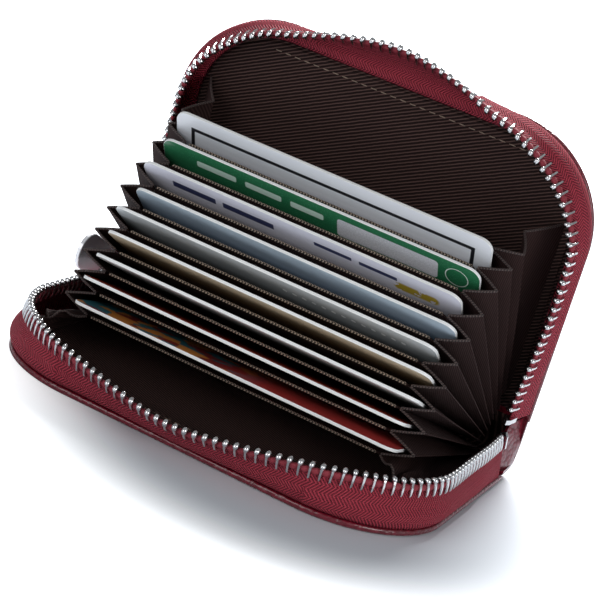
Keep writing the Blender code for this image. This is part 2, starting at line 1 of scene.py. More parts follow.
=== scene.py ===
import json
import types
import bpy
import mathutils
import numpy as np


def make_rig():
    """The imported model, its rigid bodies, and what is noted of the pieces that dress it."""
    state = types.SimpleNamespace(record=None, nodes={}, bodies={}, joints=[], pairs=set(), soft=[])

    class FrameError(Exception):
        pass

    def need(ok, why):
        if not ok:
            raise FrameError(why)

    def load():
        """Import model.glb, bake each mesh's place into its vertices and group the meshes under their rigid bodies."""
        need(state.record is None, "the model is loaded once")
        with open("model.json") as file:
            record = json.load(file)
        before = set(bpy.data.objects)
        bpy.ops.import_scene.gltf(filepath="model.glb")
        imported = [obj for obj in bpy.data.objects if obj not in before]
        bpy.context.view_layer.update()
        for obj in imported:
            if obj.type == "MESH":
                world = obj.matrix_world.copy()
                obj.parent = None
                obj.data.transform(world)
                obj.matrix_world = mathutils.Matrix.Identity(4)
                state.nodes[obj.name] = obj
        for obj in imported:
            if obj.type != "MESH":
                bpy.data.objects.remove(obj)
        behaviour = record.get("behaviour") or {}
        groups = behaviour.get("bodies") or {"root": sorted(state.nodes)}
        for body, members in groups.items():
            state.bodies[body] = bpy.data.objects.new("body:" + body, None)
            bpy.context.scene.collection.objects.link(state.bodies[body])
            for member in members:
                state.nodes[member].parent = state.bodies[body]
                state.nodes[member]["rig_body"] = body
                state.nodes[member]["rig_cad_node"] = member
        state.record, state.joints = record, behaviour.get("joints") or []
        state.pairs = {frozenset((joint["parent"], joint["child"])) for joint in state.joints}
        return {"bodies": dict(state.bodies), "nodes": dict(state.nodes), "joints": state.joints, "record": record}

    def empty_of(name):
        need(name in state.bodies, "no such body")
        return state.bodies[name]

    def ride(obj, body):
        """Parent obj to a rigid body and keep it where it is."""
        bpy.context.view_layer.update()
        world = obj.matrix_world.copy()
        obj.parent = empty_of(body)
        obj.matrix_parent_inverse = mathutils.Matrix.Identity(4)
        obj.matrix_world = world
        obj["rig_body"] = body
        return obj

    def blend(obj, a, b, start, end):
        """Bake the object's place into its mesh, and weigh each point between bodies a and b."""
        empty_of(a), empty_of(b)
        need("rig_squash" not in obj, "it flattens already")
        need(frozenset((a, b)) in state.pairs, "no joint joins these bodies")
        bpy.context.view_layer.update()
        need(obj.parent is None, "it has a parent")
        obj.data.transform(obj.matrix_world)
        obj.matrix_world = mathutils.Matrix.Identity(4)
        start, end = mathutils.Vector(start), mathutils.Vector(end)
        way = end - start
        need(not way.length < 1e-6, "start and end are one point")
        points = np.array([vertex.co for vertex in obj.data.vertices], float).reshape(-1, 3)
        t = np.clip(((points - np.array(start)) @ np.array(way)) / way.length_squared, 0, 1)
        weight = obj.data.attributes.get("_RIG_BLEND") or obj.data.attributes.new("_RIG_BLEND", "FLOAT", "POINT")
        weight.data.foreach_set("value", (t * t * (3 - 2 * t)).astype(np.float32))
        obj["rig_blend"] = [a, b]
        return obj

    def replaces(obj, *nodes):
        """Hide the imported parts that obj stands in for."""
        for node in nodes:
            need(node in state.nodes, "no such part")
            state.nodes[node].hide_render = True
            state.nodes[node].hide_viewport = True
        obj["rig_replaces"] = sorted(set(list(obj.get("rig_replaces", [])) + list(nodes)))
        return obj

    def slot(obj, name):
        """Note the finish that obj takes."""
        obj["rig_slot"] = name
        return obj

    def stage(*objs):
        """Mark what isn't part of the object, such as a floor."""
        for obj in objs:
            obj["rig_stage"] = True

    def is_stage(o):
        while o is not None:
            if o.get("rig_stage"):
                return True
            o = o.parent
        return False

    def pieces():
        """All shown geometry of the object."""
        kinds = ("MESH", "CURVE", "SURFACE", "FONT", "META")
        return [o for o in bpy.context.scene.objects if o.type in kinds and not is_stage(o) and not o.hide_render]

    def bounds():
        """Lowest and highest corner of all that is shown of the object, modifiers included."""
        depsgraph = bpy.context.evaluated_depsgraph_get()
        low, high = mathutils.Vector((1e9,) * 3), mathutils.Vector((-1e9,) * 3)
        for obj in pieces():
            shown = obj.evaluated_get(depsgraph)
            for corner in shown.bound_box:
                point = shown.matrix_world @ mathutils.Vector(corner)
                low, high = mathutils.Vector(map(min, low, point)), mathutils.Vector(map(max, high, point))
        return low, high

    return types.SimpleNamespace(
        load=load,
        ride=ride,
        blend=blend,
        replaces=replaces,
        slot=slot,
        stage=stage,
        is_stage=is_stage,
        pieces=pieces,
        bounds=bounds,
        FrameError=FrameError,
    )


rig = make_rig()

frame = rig.load()

import json
import math

import bmesh
import bpy
import numpy as np
from mathutils import Matrix, Vector

cad_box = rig.bounds()

# The photograph's view: a long lens, a little to the right of the mouth and slightly above the open case,
# tilted so that the spine runs down to the right across the picture.

right = Vector((0.86604, 0.39194, 0.31043)).normalized()
back = Vector((0.31223, -0.90889, 0.27648)).normalized()
up = back.cross(right).normalized()
right = up.cross(back)
camera_data = bpy.data.cameras.new("camera")
camera_data.sensor_width = 36.0
camera_data.lens = 114.0
camera_data.clip_start = 0.01
camera = bpy.data.objects.new("camera", camera_data)
camera_place = Matrix.Translation((0.14371, -0.40480, 0.15611))
camera.matrix_world = camera_place @ Matrix((right, up, back)).transposed().to_4x4()
bpy.context.scene.collection.objects.link(camera)
bpy.context.scene.camera = camera
bpy.context.scene.view_settings.view_transform = "Standard"

# Studio light: a broad soft lamp behind and above, which throws the shadow forward, a low fill from the front, a
# small lamp on the right, and a plain world. The world is dim as a light, and pale to the camera and in the metal.


def feed(socket, value):
    """Gives a socket a link, a plain colour or a value."""
    if isinstance(value, bpy.types.NodeSocket):
        socket.id_data.links.new(value, socket)
    elif isinstance(value, tuple) and socket.type == "RGBA":
        socket.default_value = (*value, 1.0)
    elif value is not None:
        socket.default_value = value


def node(tree, kind, inputs=(), **settings):
    """A shader node. Inputs are values or sockets, in order or by name; settings are the node's own."""
    made = tree.nodes.new("ShaderNode" + kind)
    for name, value in settings.items():
        setattr(made, name, value)
    for key, value in inputs.items() if isinstance(inputs, dict) else enumerate(inputs):
        feed(made.inputs[key], value)
    return made


def material(name, colour, roughness, metallic=0.0, more=None):
    """A node material with one Principled shader: itself, its tree, the shader's inputs and the coordinates."""
    mat = bpy.data.materials.new(name)
    mat.use_nodes = True
    tree = mat.node_tree
    surface = tree.nodes["Principled BSDF"].inputs
    first = {"Base Color": colour, "Roughness": roughness, "Metallic": metallic}
    for socket, value in {**first, **(more or {})}.items():
        feed(surface[socket], value)
    return mat, tree, surface, node(tree, "TexCoord").outputs


def tree_of(values):
    """The node tree of the first socket among some values."""
    return next(value.id_data for value in values if isinstance(value, bpy.types.NodeSocket))


def maths(operation, *values):
    """The output of a Math node whose inputs are sockets or numbers."""
    return node(tree_of(values), "Math", values, operation=operation).outputs[0]


def vectors(operation, *values):
    """The output of a Vector Math node, a value for a length and a vector for all else."""
    made = node(tree_of(values), "VectorMath", values, operation=operation)
    return made.outputs["Value" if operation == "LENGTH" else "Vector"]


def area_light(name, place, target, width, height, power):
    """A rectangular lamp at a place, aimed at a target."""
    data = bpy.data.lights.new(name, "AREA")
    data.shape = "RECTANGLE"
    data.size, data.size_y, data.energy = width, height, power
    lamp = bpy.data.objects.new(name, data)
    lamp.location = place
    lamp.rotation_euler = (Vector(target) - Vector(place)).to_track_quat("-Z", "Y").to_euler()
    bpy.context.scene.collection.objects.link(lamp)


area_light("key", (-0.13, 0.80, 0.79), (0.0, 0.0, 0.02), 0.46, 0.14, 22.0)
area_light("fill", (-0.35, -1.00, 0.42), (0.0, 0.0, 0.03), 0.90, 0.60, 4.4)
area_light("side", (0.80, -0.35, 0.30), (0.0, 0.0, 0.03), 0.35, 0.35, 2.7)

METAL_SEES = 0.28
world = bpy.data.worlds.new("studio")
world.use_nodes = True
bpy.context.scene.world = world
tree = world.node_tree
tree.nodes.clear()
path = node(tree, "LightPath").outputs
seen = maths("MAXIMUM", path["Is Camera Ray"], path["Is Transmission Ray"])
seen = maths("MULTIPLY_ADD", path["Is Glossy Ray"], METAL_SEES, seen)
dim = node(tree, "Background", {"Color": (0.82, 0.91, 1.0), "Strength": 0.14})
pale = node(tree, "Background", {"Color": (0.8, 0.8, 0.8), "Strength": 1.0})
mix = node(tree, "MixShader", (seen, dim.outputs[0], pale.outputs[0]))
node(tree, "OutputWorld", (mix.outputs[0],))

# the paper turns white, for the camera alone, between these distances from the middle of the shadow
SHADOW_MIDDLE = (0.022, -0.002, 0.0)
SHADOW_KEPT, WHITE_FROM = 0.046, 0.086
floor_mesh = bpy.data.meshes.new("floor")
floor_mesh.from_pydata([(-3, -3, 0), (3, -3, 0), (3, 3, 0), (-3, 3, 0)], [], [(0, 1, 2, 3)])
floor = bpy.data.objects.new("floor", floor_mesh)
floor.location.z = -0.0002
bpy.context.scene.collection.objects.link(floor)
paper, tree, surface, place = material("paper", (0.74, 0.78, 0.83), 0.9, more={"Specular IOR Level": 0.1})
away = vectors("SUBTRACT", place["Object"], SHADOW_MIDDLE)
away = {"Value": vectors("LENGTH", away), "From Min": SHADOW_KEPT, "From Max": WHITE_FROM}
far = node(tree, "MapRange", away, interpolation_type="SMOOTHSTEP")
level = maths("MULTIPLY", node(tree, "LightPath").outputs["Is Camera Ray"], far.outputs[0])
glow = node(tree, "Emission", ((1.0, 1.0, 1.0), level))
both = node(tree, "AddShader", (tree.nodes["Principled BSDF"].outputs[0], glow.outputs[0]))
feed(tree.nodes["Material Output"].inputs["Surface"], both.outputs[0])
floor_mesh.materials.append(paper)
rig.stage(floor)

# The case's own geometry: eleven leaves fan out from the front cover about the spine. Every leaf has a root line
# and a turn, and between two dividers lies a pocket, halfway round. Places on a leaf are given as x along the
# spine, depth from the root, and off, the distance behind the leaf.

COVER_DEPTH = 0.0715
COVER_STACK = 0.0029
ROOT_Y = COVER_DEPTH / 2
LEAF_TURNS = (9.3, 4.75, 4.5, 4.55, 4.85, 5.15, 5.65, 6.5, 6.75, 6.4, 23.4)
POCKET_PITCH = 0.0015
END_PITCH = 0.0038
FRONT_SHIFT, REAR_SHIFT = 0.0166, 0.00645
LEAVES = len(LEAF_TURNS)
COVERS = (("front_cover", "front"), ("rear_cover", "rear"))


def next_spot(spot, pitch, angle, shift):
    """Root and turn after a hinge that stands one pitch off the last leaf and shift in front of its root."""
    root, turn = spot
    pivot = root + pitch * np.array([np.sin(turn), np.cos(turn)])
    pivot = pivot + shift * np.array([-np.cos(turn), np.sin(turn)])
    turn = turn + math.radians(angle)
    return pivot - shift * np.array([-np.cos(turn), np.sin(turn)]), turn


stations = [("front_cover", (np.array([ROOT_Y, COVER_STACK]), 0.0))]
spot = next_spot((np.array([ROOT_Y, 0.0]), 0.0), COVER_STACK + END_PITCH, LEAF_TURNS[0], FRONT_SHIFT)
stations.append(("leaf_01", spot))
for k in range(1, LEAVES - 1):
    spot = next_spot(spot, POCKET_PITCH / 2, LEAF_TURNS[k] / 2, 0.0)
    stations.append((f"pocket_{k:02d}", spot))
    spot = next_spot(spot, POCKET_PITCH / 2, LEAF_TURNS[k] / 2, 0.0)
    stations.append((f"leaf_{k + 1:02d}", spot))
spot = next_spot(spot, END_PITCH, LEAF_TURNS[-1], REAR_SHIFT)
stations.append(("rear_cover", spot))
place_of = dict(stations)


def on_leaf(body, x, depth, off):
    """World points (..., 3) on a body's leaf: its root, plus depth along the leaf, plus off square to it."""
    root, turn = place_of[body]
    x, depth, off = np.broadcast_arrays(x, depth, off)
    y = root[0] - depth * math.cos(turn) + off * math.sin(turn)
    z = root[1] + depth * math.sin(turn) + off * math.cos(turn)
    return np.stack([x, y, z], axis=-1)


def on_cover(body, x, depth, height):
    """World points on a cover. Height runs from the leather's outer face towards the inside of the case."""
    if body == "front_cover":
        return on_leaf(body, x, depth, height - COVER_STACK)
    return on_leaf(body, x, depth, COVER_STACK - height)


# Cover leather: glossy pebbled calf skin over a stiff board, its edge turned in and rounded. One for each cover.

COVER_LENGTH = 0.1140
COVER_CORNER = 0.0265
LEATHER_THICKNESS = 0.0015


def build(name, points, faces, uv=None, sharp=None):
    """A mesh object at the origin from points (n, 3), a list of faces, and one (u, v) a point."""
    mesh = bpy.data.meshes.new(name)
    mesh.from_pydata(np.asarray(points, float).reshape(-1, 3).tolist(), [], faces)
    if uv is not None:
        layer = mesh.uv_layers.new(name="flat")
        corner = np.empty(len(mesh.loops), np.int32)
        mesh.loops.foreach_get("vertex_index", corner)
        layer.data.foreach_set("uv", np.asarray(uv, np.float32).reshape(-1, 2)[corner].ravel())
    mesh.validate()
    mesh.update()
    mesh.shade_smooth()
    if sharp is not None:
        mesh.set_sharp_from_angle(angle=math.radians(sharp))
    piece = bpy.data.objects.new(name, mesh)
    bpy.context.scene.collection.objects.link(piece)
    return piece


def quads(rows, columns, closed=False):
    """Faces of a grid of points; a closed grid joins its last column to its first."""
    i = np.arange(rows - 1)[:, None]
    j = np.arange(columns if closed else columns - 1)[None, :]
    a = i * columns + j
    b = i * columns + (j + 1) % columns
    return np.stack([a, b, b + columns, a + columns], axis=-1).reshape(-1, 4)


def tube_faces(rows, columns):
    """Faces of a tube of rings, one after another, with both ends closed."""
    ends = [list(range(columns))[::-1], list(range((rows - 1) * columns, rows * columns))]
    return quads(rows, columns, closed=True).tolist() + ends


def unit(vectors):
    """Vectors of the same directions, each one long."""
    return vectors / np.linalg.norm(vectors, axis=-1, keepdims=True)


def outward(piece):
    """Turns the faces of a closed piece outwards."""
    bm = bmesh.new()
    bm.from_mesh(piece.data)
    bmesh.ops.recalc_face_normals(bm, faces=bm.faces)
    bm.to_mesh(piece.data)
    bm.free()


def solid(name, mat, points, faces, uv=None, sharp=None):
    """A closed mesh object of one material, with its faces turned outwards."""
    piece = build(name, points, faces, uv, sharp)
    outward(piece)
    piece.data.materials.append(mat)
    return piece


def rounded_outline(half, low, high, radius, steps, side_steps):
    """Outline (x, depth) of a panel with two round corners at its high edge and a straight low edge."""
    arc = np.linspace(0, np.pi / 2, steps)
    right_arc = np.stack([half - radius + radius * np.cos(arc), high - radius + radius * np.sin(arc)], -1)
    left_arc = right_arc[::-1] * (-1, 1)
    feet = np.array([(half, low)]), np.array([(-half, low)])
    t = np.linspace(0, 1, side_steps)[1:-1, None]
    runs = [(feet[0], right_arc), (right_arc, left_arc), (left_arc, feet[1]), (feet[1], feet[0])]
    return np.concatenate([side for a, b in runs for side in (a[-1] * (1 - t) + b[0] * t, b)])


def group(name, inputs, outputs):
    """An empty node group: its tree, the sockets that bring its inputs and those that take its outputs. An input of
    None is a vector, and a number is a value with that default. The outputs are values."""
    tree = bpy.data.node_groups.new(name, "ShaderNodeTree")
    for label, value in inputs.items():
        kind = "NodeSocketVector" if value is None else "NodeSocketFloat"
        socket = tree.interface.new_socket(name=label, in_out="INPUT", socket_type=kind)
        if value is not None:
            socket.default_value = value
    for label in outputs:
        tree.interface.new_socket(name=label, in_out="OUTPUT", socket_type="NodeSocketFloat")
    return tree, tree.nodes.new("NodeGroupInput").outputs, tree.nodes.new("NodeGroupOutput").inputs


def shared(effect, **inputs):
    """The outputs of a node group placed in a material."""
    return node(tree_of(inputs.values()), "Group", inputs, node_tree=effect).outputs


def noise(vector, scale, detail=2.0):
    """The value of a noise texture."""
    return node(vector.id_data, "TexNoise", {"Vector": vector, "Scale": scale, "Detail": detail}).outputs[0]


def mix_colour(factor, first, second):
    """A colour mix of sockets or plain colours by a factor that is a socket; returns its output."""
    return node(factor.id_data, "Mix", {0: factor, 6: first, 7: second}, data_type="RGBA").outputs[2]


def paint(surface, factor, first, second):
    """Mixes two colours into the shader's base colour."""
    feed(surface["Base Color"], mix_colour(factor, first, second))


def bump(height, strength, distance, surface):
    """Feeds a height to the shader's normal through a Bump node."""
    relief = {"Strength": strength, "Distance": distance, "Height": height}
    feed(surface["Normal"], node(height.id_data, "Bump", relief).outputs[0])


def sine_turns(phase):
    """A sine wave from 0 to 1 of a phase counted in turns."""
    wave = maths("SINE", maths("MULTIPLY", phase, 2 * math.pi))
    return maths("MULTIPLY_ADD", wave, 0.5, 0.5)


# pebble: round cells with sunk borders, over a fine noise; the crease output is high in the sunk borders, for painted
# shade there
pebble, take, give = group("pebble", {"Vector": None, "Cells": 1100.0}, ("Height", "Crease"))
cells = {"Vector": take[0], "Scale": take[1], "Smoothness": 0.35}
cells = node(pebble, "TexVoronoi", cells, feature="SMOOTH_F1").outputs["Distance"]
domed = maths("SUBTRACT", 1.0, maths("POWER", cells, 2.0))
feed(give[0], maths("MULTIPLY_ADD", noise(take[0], 2600.0, 3.0), 0.18, domed))
feed(give[1], maths("SMOOTH_MIN", maths("MULTIPLY", cells, 1.3), 1.0, 0.1))

coat = {"Coat Weight": 0.5, "Coat Roughness": 0.16}
leather, tree, surface, place = material("pebbled_leather", (0.135, 0.004, 0.012), 0.30, more=coat)
grain_and_crease_shade = shared(pebble, Vector=place["Object"], Cells=900.0)
# painted shade: the sunk borders between the pebbles are darker than the pebbles' tops
paint(surface, grain_and_crease_shade["Crease"], (0.200, 0.007, 0.022), (0.110, 0.003, 0.011))
bump(grain_and_crease_shade["Height"], 0.8, 0.00030, surface)

outline = rounded_outline(COVER_LENGTH / 2, -0.002, COVER_DEPTH, COVER_CORNER, 30, 10)
middle = np.array([0.0, COVER_DEPTH * 0.45])
edge = 0.00062
angles = np.linspace(0, np.pi / 2, 6)
profile = [(f, 0.0, 0.0) for f in (0.02, 0.35, 0.7, 0.9)]
profile += [(1.0, edge * (1 - math.sin(a)), edge * (1 - math.cos(a))) for a in angles]
profile += [(share, draw, LEATHER_THICKNESS - height) for share, draw, height in profile[::-1]]
inset = unit(outline - middle)
for body, prefix in COVERS:
    share, draw, height = (np.array(c)[:, None] for c in zip(*profile))
    flat = middle + (outline - middle)[None] * share[..., None] - inset[None] * draw[..., None]
    points = on_cover(body, flat[..., 0], flat[..., 1], height)
    skin = solid(prefix + "_cover_skin", leather, points, tube_faces(*flat.shape[:2]), flat, 50)
    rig.replaces(skin, prefix + "_leather")
    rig.ride(skin, body)
    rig.slot(skin, "leather")

# Zip tape: a red herringbone ribbon sewn flat to the cover by its foot. Its wall stands up round the rim, leans in
# along the sides and out at the mouth, and bellies outwards a little.

SEAM_INSET = 0.0004
TAPE_BASE = 0.0018
TAPE_FOOT = 0.0040
TAPE_WALL = 0.0071
CHAIN_BASE = TAPE_WALL + 0.0003
TAPE_MIDDLE = -0.00025
SIDE_RUN = COVER_DEPTH - COVER_CORNER
MOUTH_RUN = COVER_LENGTH - 2 * COVER_CORNER
RIM_RADIUS = COVER_CORNER - SEAM_INSET
CORNER_RUN = RIM_RADIUS * math.pi / 2
RIM_LENGTH = 2 * SIDE_RUN + 2 * CORNER_RUN + MOUTH_RUN
# the wall's lean in degrees, outward positive, at equal steps along the rim from the slider's end to the stops
LEANS = {
    "front_cover": (-9, -9, -9, -9.5, -8, 2, 25.5, 44.5, 55, 45, 26, -1, -8, -5, -7, -8, -12),
    "rear_cover": (-11, -12, -13, -17, -18, -15, 4, 29, 42, 30, 4, -16, -13, -4, -3.5, -9, -15),
}
BELLY = {"front_cover": 0.0016, "rear_cover": 0.0012}


def rim_at(s):
    """Seam point (x, depth) and outward direction at distances along the rim: side, quarter circle, mouth."""
    mirrored = s > RIM_LENGTH / 2
    s = np.where(mirrored, RIM_LENGTH - s, s)
    angle = np.pi - np.clip((s - SIDE_RUN) / RIM_RADIUS, 0, np.pi / 2)
    nx, nd = np.cos(angle), np.sin(angle)
    centre = COVER_CORNER - COVER_LENGTH / 2
    past = np.clip(s - SIDE_RUN - CORNER_RUN, 0, None)
    x = centre + RIM_RADIUS * nx + past
    depth = np.minimum(s, SIDE_RUN) + RIM_RADIUS * nd
    sign = np.where(mirrored, -1.0, 1.0)
    return x * sign, depth, nx * sign, nd


def lean_at(s, leans):
    """Lean of the wall from upright in radians: a Catmull-Rom curve through the stated leans."""
    leans = np.array(leans, float)
    last = len(leans) - 1
    place = np.asarray(s) / RIM_LENGTH * last
    i = np.clip(place.astype(int), 0, last - 1)
    t = place - i
    a, b, c, d = leans[np.maximum(i - 1, 0)], leans[i], leans[i + 1], leans[np.minimum(i + 2, last)]
    return np.radians(b + t / 2 * (c - a + t * (2 * a - 5 * b + 4 * c - d + t * (3 * b - 3 * c + d - a))))


def on_tape(body, s, across, along):
    """World points at a distance along the rim, across the wall (outward positive) and up it from the seam."""
    x, depth, nx, nd = rim_at(s)
    lean = lean_at(s, LEANS[body])
    out = along * np.sin(lean) + across * np.cos(lean)
    height = along * np.cos(lean) - across * np.sin(lean)
    return on_cover(body, x + nx * out, depth + nd * out, TAPE_BASE + height)


# herringbone: slanted threads whose slant turns over from band to band across the tape, with a mask that is high on
# the threads and low in the gaps between them
herringbone, take, give = group(
    "herringbone", {"Vector": None, "Thread": 0.0006, "Band": 0.0024, "Slant": 1.0}, ("Mask", "Height")
)
flat = node(herringbone, "SeparateXYZ", (take[0],)).outputs
zigzag = maths("PINGPONG", flat[1], take[2])
run = maths("ADD", flat[0], maths("MULTIPLY", zigzag, take[3]))
phase = maths("DIVIDE", run, take[1])
cross = maths("SINE", maths("DIVIDE", flat[1], 0.00007))
thread = maths("MULTIPLY_ADD", cross, 0.10, sine_turns(phase))
mask = maths("MULTIPLY", thread, 0.75)
feed(give[0], maths("MULTIPLY_ADD", noise(take[0], 2200.0), 0.5, mask))
feed(give[1], thread)

dull = {"Specular IOR Level": 0.2}
tape_cloth, tree, surface, place = material("herringbone_tape", (0.26, 0.024, 0.040), 0.78, more=dull)
weave_and_thread_shading = shared(herringbone, Vector=place["UV"], Thread=0.00080, Band=0.0017, Slant=0.9)
# painted highlight and shade: the threads of the one red tape are lit and the gaps between them are dark, with some
# random fuzz
paint(surface, weave_and_thread_shading["Mask"], (0.030, 0.0030, 0.007), (0.520, 0.055, 0.085))
bump(weave_and_thread_shading["Height"], 1.0, 0.00034, surface)

TAPE_CLOTH = 0.0004
TAPE_LAP = 0.0018        # how far the tape runs on between the legs of the teeth
FOOT_LIFT = 0.00025
CHAIN_START = 0.0004
s = np.linspace(CHAIN_START, RIM_LENGTH - CHAIN_START, 421)[:, None]
foot = np.array([-TAPE_FOOT, -0.0025, -0.0010])
t = np.linspace(0, 1, 13)
run_up = t * (TAPE_WALL + TAPE_LAP)
belly = 6.75 * t * (1 - t) ** 2
for body, prefix in COVERS:
    x, depth, nx, nd = rim_at(s)
    flat = on_cover(body, x + nx * foot, depth + nd * foot, TAPE_BASE + FOOT_LIFT)
    sides = np.clip(np.minimum(s, RIM_LENGTH - s) / 0.020, 0, 1)
    lean_now = lean_at(s, LEANS[body])
    full = BELLY[body] * sides * np.where(lean_now < math.radians(20), 1.0, 0.6)
    wall = on_tape(body, s, TAPE_MIDDLE + belly * full, run_up)
    points = np.concatenate([flat, wall], axis=1)
    across = np.concatenate([foot, run_up])
    uv = np.stack(np.broadcast_arrays(s, across[None, :]), axis=-1)
    ribbon = build(prefix + "_tape_ribbon", points, quads(*points.shape[:2]).tolist(), uv)
    cloth = ribbon.modifiers.new("cloth", "SOLIDIFY")
    cloth.thickness, cloth.offset, cloth.use_even_offset = TAPE_CLOTH, 0.0, True
    ribbon.data.materials.append(tape_cloth)
    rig.replaces(ribbon, prefix + "_tape")
    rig.ride(ribbon, body)
    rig.slot(ribbon, "zip_tape")

# Zip teeth: stamped nickel, each with a round head and two legs pinched on the bead along the tape's edge. The
# bead is a red cord that swells between the teeth.

TOOTH_PITCH = 0.0024
STOP_LENGTH = 0.0016
TOOTH_WAIST = 0.0024     # height up the tooth at which the pitch is measured
BEAD_HEIGHT, BEAD_RADIUS, BEAD_SWELL = 0.0021, 0.00046, 0.00022


def tooth_spots(body, offset):
    """Distances along the rim at which teeth sit at equal pitch along the row's own curve."""
    fine_s = np.linspace(CHAIN_START, RIM_LENGTH - CHAIN_START - STOP_LENGTH, 3001)
    middle_line = on_tape(body, fine_s, TAPE_MIDDLE, CHAIN_BASE + TOOTH_WAIST)
    steps = np.linalg.norm(np.diff(middle_line, axis=0), axis=1)
    length = np.concatenate([[0.0], np.cumsum(steps)])
    centres = np.arange(TOOTH_PITCH * (0.5 + offset), length[-1] - 0.0006, TOOTH_PITCH)
    return np.interp(centres, length, fine_s)


def frames_on_tape(body, s, along):
    """Origins and three unit directions (along the rim, outward, up the wall) at distances along the rim."""
    origin = on_tape(body, s, TAPE_MIDDLE, along)
    ahead = on_tape(body, s + 1e-4, TAPE_MIDDLE, along) - on_tape(body, s - 1e-4, TAPE_MIDDLE, along)
    rise = on_tape(body, s, TAPE_MIDDLE, along + 1e-3) - origin
    out = on_tape(body, s, TAPE_MIDDLE + 1e-3, along) - origin
    return origin, [unit(v) for v in (ahead, out, rise)]


def repeated(template, faces, origin, axes):
    """Copies of a small shape (n, 3), one in each frame, with their faces."""
    points = origin[:, None] + sum(template[None, :, i : i + 1] * axes[i][:, None] for i in range(3))
    shifts = range(0, len(origin) * len(template), len(template))
    return points.reshape(-1, 3), [[v + shift for v in face] for shift in shifts for face in faces]


def ball(centre, radii, rings, sides):
    """Points and faces of an ellipsoid with closed poles."""
    a = np.linspace(-np.pi / 2, np.pi / 2, rings + 2)[1:-1, None]
    b = np.linspace(0, 2 * np.pi, sides, endpoint=False)[None, :]
    body_points = np.stack([np.cos(a) * np.cos(b), np.cos(a) * np.sin(b), np.sin(a) + 0 * b], -1).reshape(-1, 3)
    points = np.concatenate([body_points, [[0, 0, -1], [0, 0, 1]]]) * radii + centre
    faces = quads(rings, sides, closed=True).tolist()
    low, high, last = rings * sides, rings * sides + 1, (rings - 1) * sides
    faces += [[(j + 1) % sides, j, low] for j in range(sides)]
    faces += [[last + j, last + (j + 1) % sides, high] for j in range(sides)]
    return points, faces


def leg(side):
    """Points and faces of one leg: a flat bar that hugs the bead and narrows to its foot."""
    rings = []
    # height up the wall, half the width along the rim, and the bar's near and far face across the tape
    for height, half, near, far in (
        (0.00015, 0.00022, 0.00050, 0.00076),
        (0.0007, 0.00032, 0.00056, 0.00100),
        (0.0022, 0.00034, 0.00052, 0.00102),
        (0.0033, 0.00040, 0.0, 0.00080),
    ):
        low, high, soft = side * near, side * far, 0.65 * half
        middle = (low + high) / 2
        corners = ((-half, low), (half, low), (half, middle), (soft, high), (-soft, high), (-half, middle))
        rings.append([(*corner, height) for corner in corners])
    return np.array(rings).reshape(-1, 3), tube_faces(4, 6)


def merged(shapes):
    """Points and faces of several shapes (points, faces) as one."""
    faces, shift = [], 0
    for points, own in shapes:
        faces += [[v + shift for v in face] for face in own]
        shift += len(points)
    return np.concatenate([points for points, own in shapes]), faces


template, faces = merged([ball((0, 0, 0.0037), (0.00070, 0.00100, 0.00080), 6, 10), leg(1), leg(-1)])

nickel, tree, surface, place = material("bright_nickel", (0.80, 0.79, 0.77), 0.20, 1.0)
smear = noise(place["Object"], 900.0, 3.0)
feed(surface["Roughness"], maths("MULTIPLY_ADD", smear, 0.22, 0.08))
paint(surface, smear, (0.42, 0.42, 0.43), (0.84, 0.84, 0.85))
bump(smear, 0.15, 0.00004, surface)

cord_cloth, tree, surface, place = material("tape_bead", (0.30, 0.020, 0.036), 0.7)
twist = node(tree, "TexWave", {"Vector": place["UV"], "Scale": 1500.0, "Distortion": 1.5}).outputs["Fac"]
paint(surface, twist, (0.150, 0.006, 0.016), (0.380, 0.040, 0.060))
bump(twist, 0.4, 0.0001, surface)

for body, prefix, offset in (("front_cover", "front", 0.0), ("rear_cover", "rear", 0.5)):
    spots = tooth_spots(body, offset)
    points, copies = repeated(template, faces, *frames_on_tape(body, spots, CHAIN_BASE))
    row = solid(prefix + "_tooth_row", nickel, points, copies, None, 50)
    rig.replaces(row, prefix + "_teeth")
    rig.ride(row, body)
    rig.slot(row, "nickel")

    s = np.linspace(spots[0] - 0.0009, spots[-1] + 0.0009, len(spots) * 8 + 1)
    phase = np.interp(s, spots, np.arange(len(spots)))
    swell = BEAD_RADIUS + BEAD_SWELL * (0.5 - 0.5 * np.cos(2 * np.pi * phase))
    around = np.linspace(0, 2 * np.pi, 10, endpoint=False)
    across = TAPE_MIDDLE + swell[:, None] * np.cos(around)
    along = CHAIN_BASE + BEAD_HEIGHT + (swell * 1.15 + 0.00015)[:, None] * np.sin(around)
    points = on_tape(body, s[:, None], across, along)
    uv = np.stack(np.broadcast_arrays(s[:, None], around[None, :] * 0.0006), axis=-1)
    bead = solid(prefix + "_tape_bead", cord_cloth, points, tube_faces(*points.shape[:2]), uv)
    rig.ride(bead, body)
    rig.slot(bead, "zip_tape")

# Twill cloth: dark brown with raised ribs, the lining of both covers. On each cover a slip panel lies over the
# lining; its edge is folded under and held by a row of tan stitches.

# ribs: thin lighter lines at a set spacing and angle, each a little uneven
ribs, take, give = group(
    "ribs", {"Vector": None, "Spacing": 0.00083, "Angle": 0.48, "Width": 3.0}, ("Mask", "Height")
)
turned = {"Vector": take[0], "Angle": maths("MULTIPLY", take[2], -1.0)}
turned = node(ribs, "VectorRotate", turned, rotation_type="Z_AXIS").outputs[0]
line = maths("DIVIDE", node(ribs, "SeparateXYZ", (turned,)).outputs[1], take[1])
level = sine_turns(maths("MULTIPLY_ADD", noise(take[0], 700.0), 0.25, line))
grit = noise(take[0], 5200.0)
uneven = maths("MULTIPLY_ADD", grit, 1.2, 0.4)
feed(give[0], maths("MULTIPLY", maths("POWER", level, take[3]), uneven))
feed(give[1], maths("MULTIPLY_ADD", grit, 0.3, level))


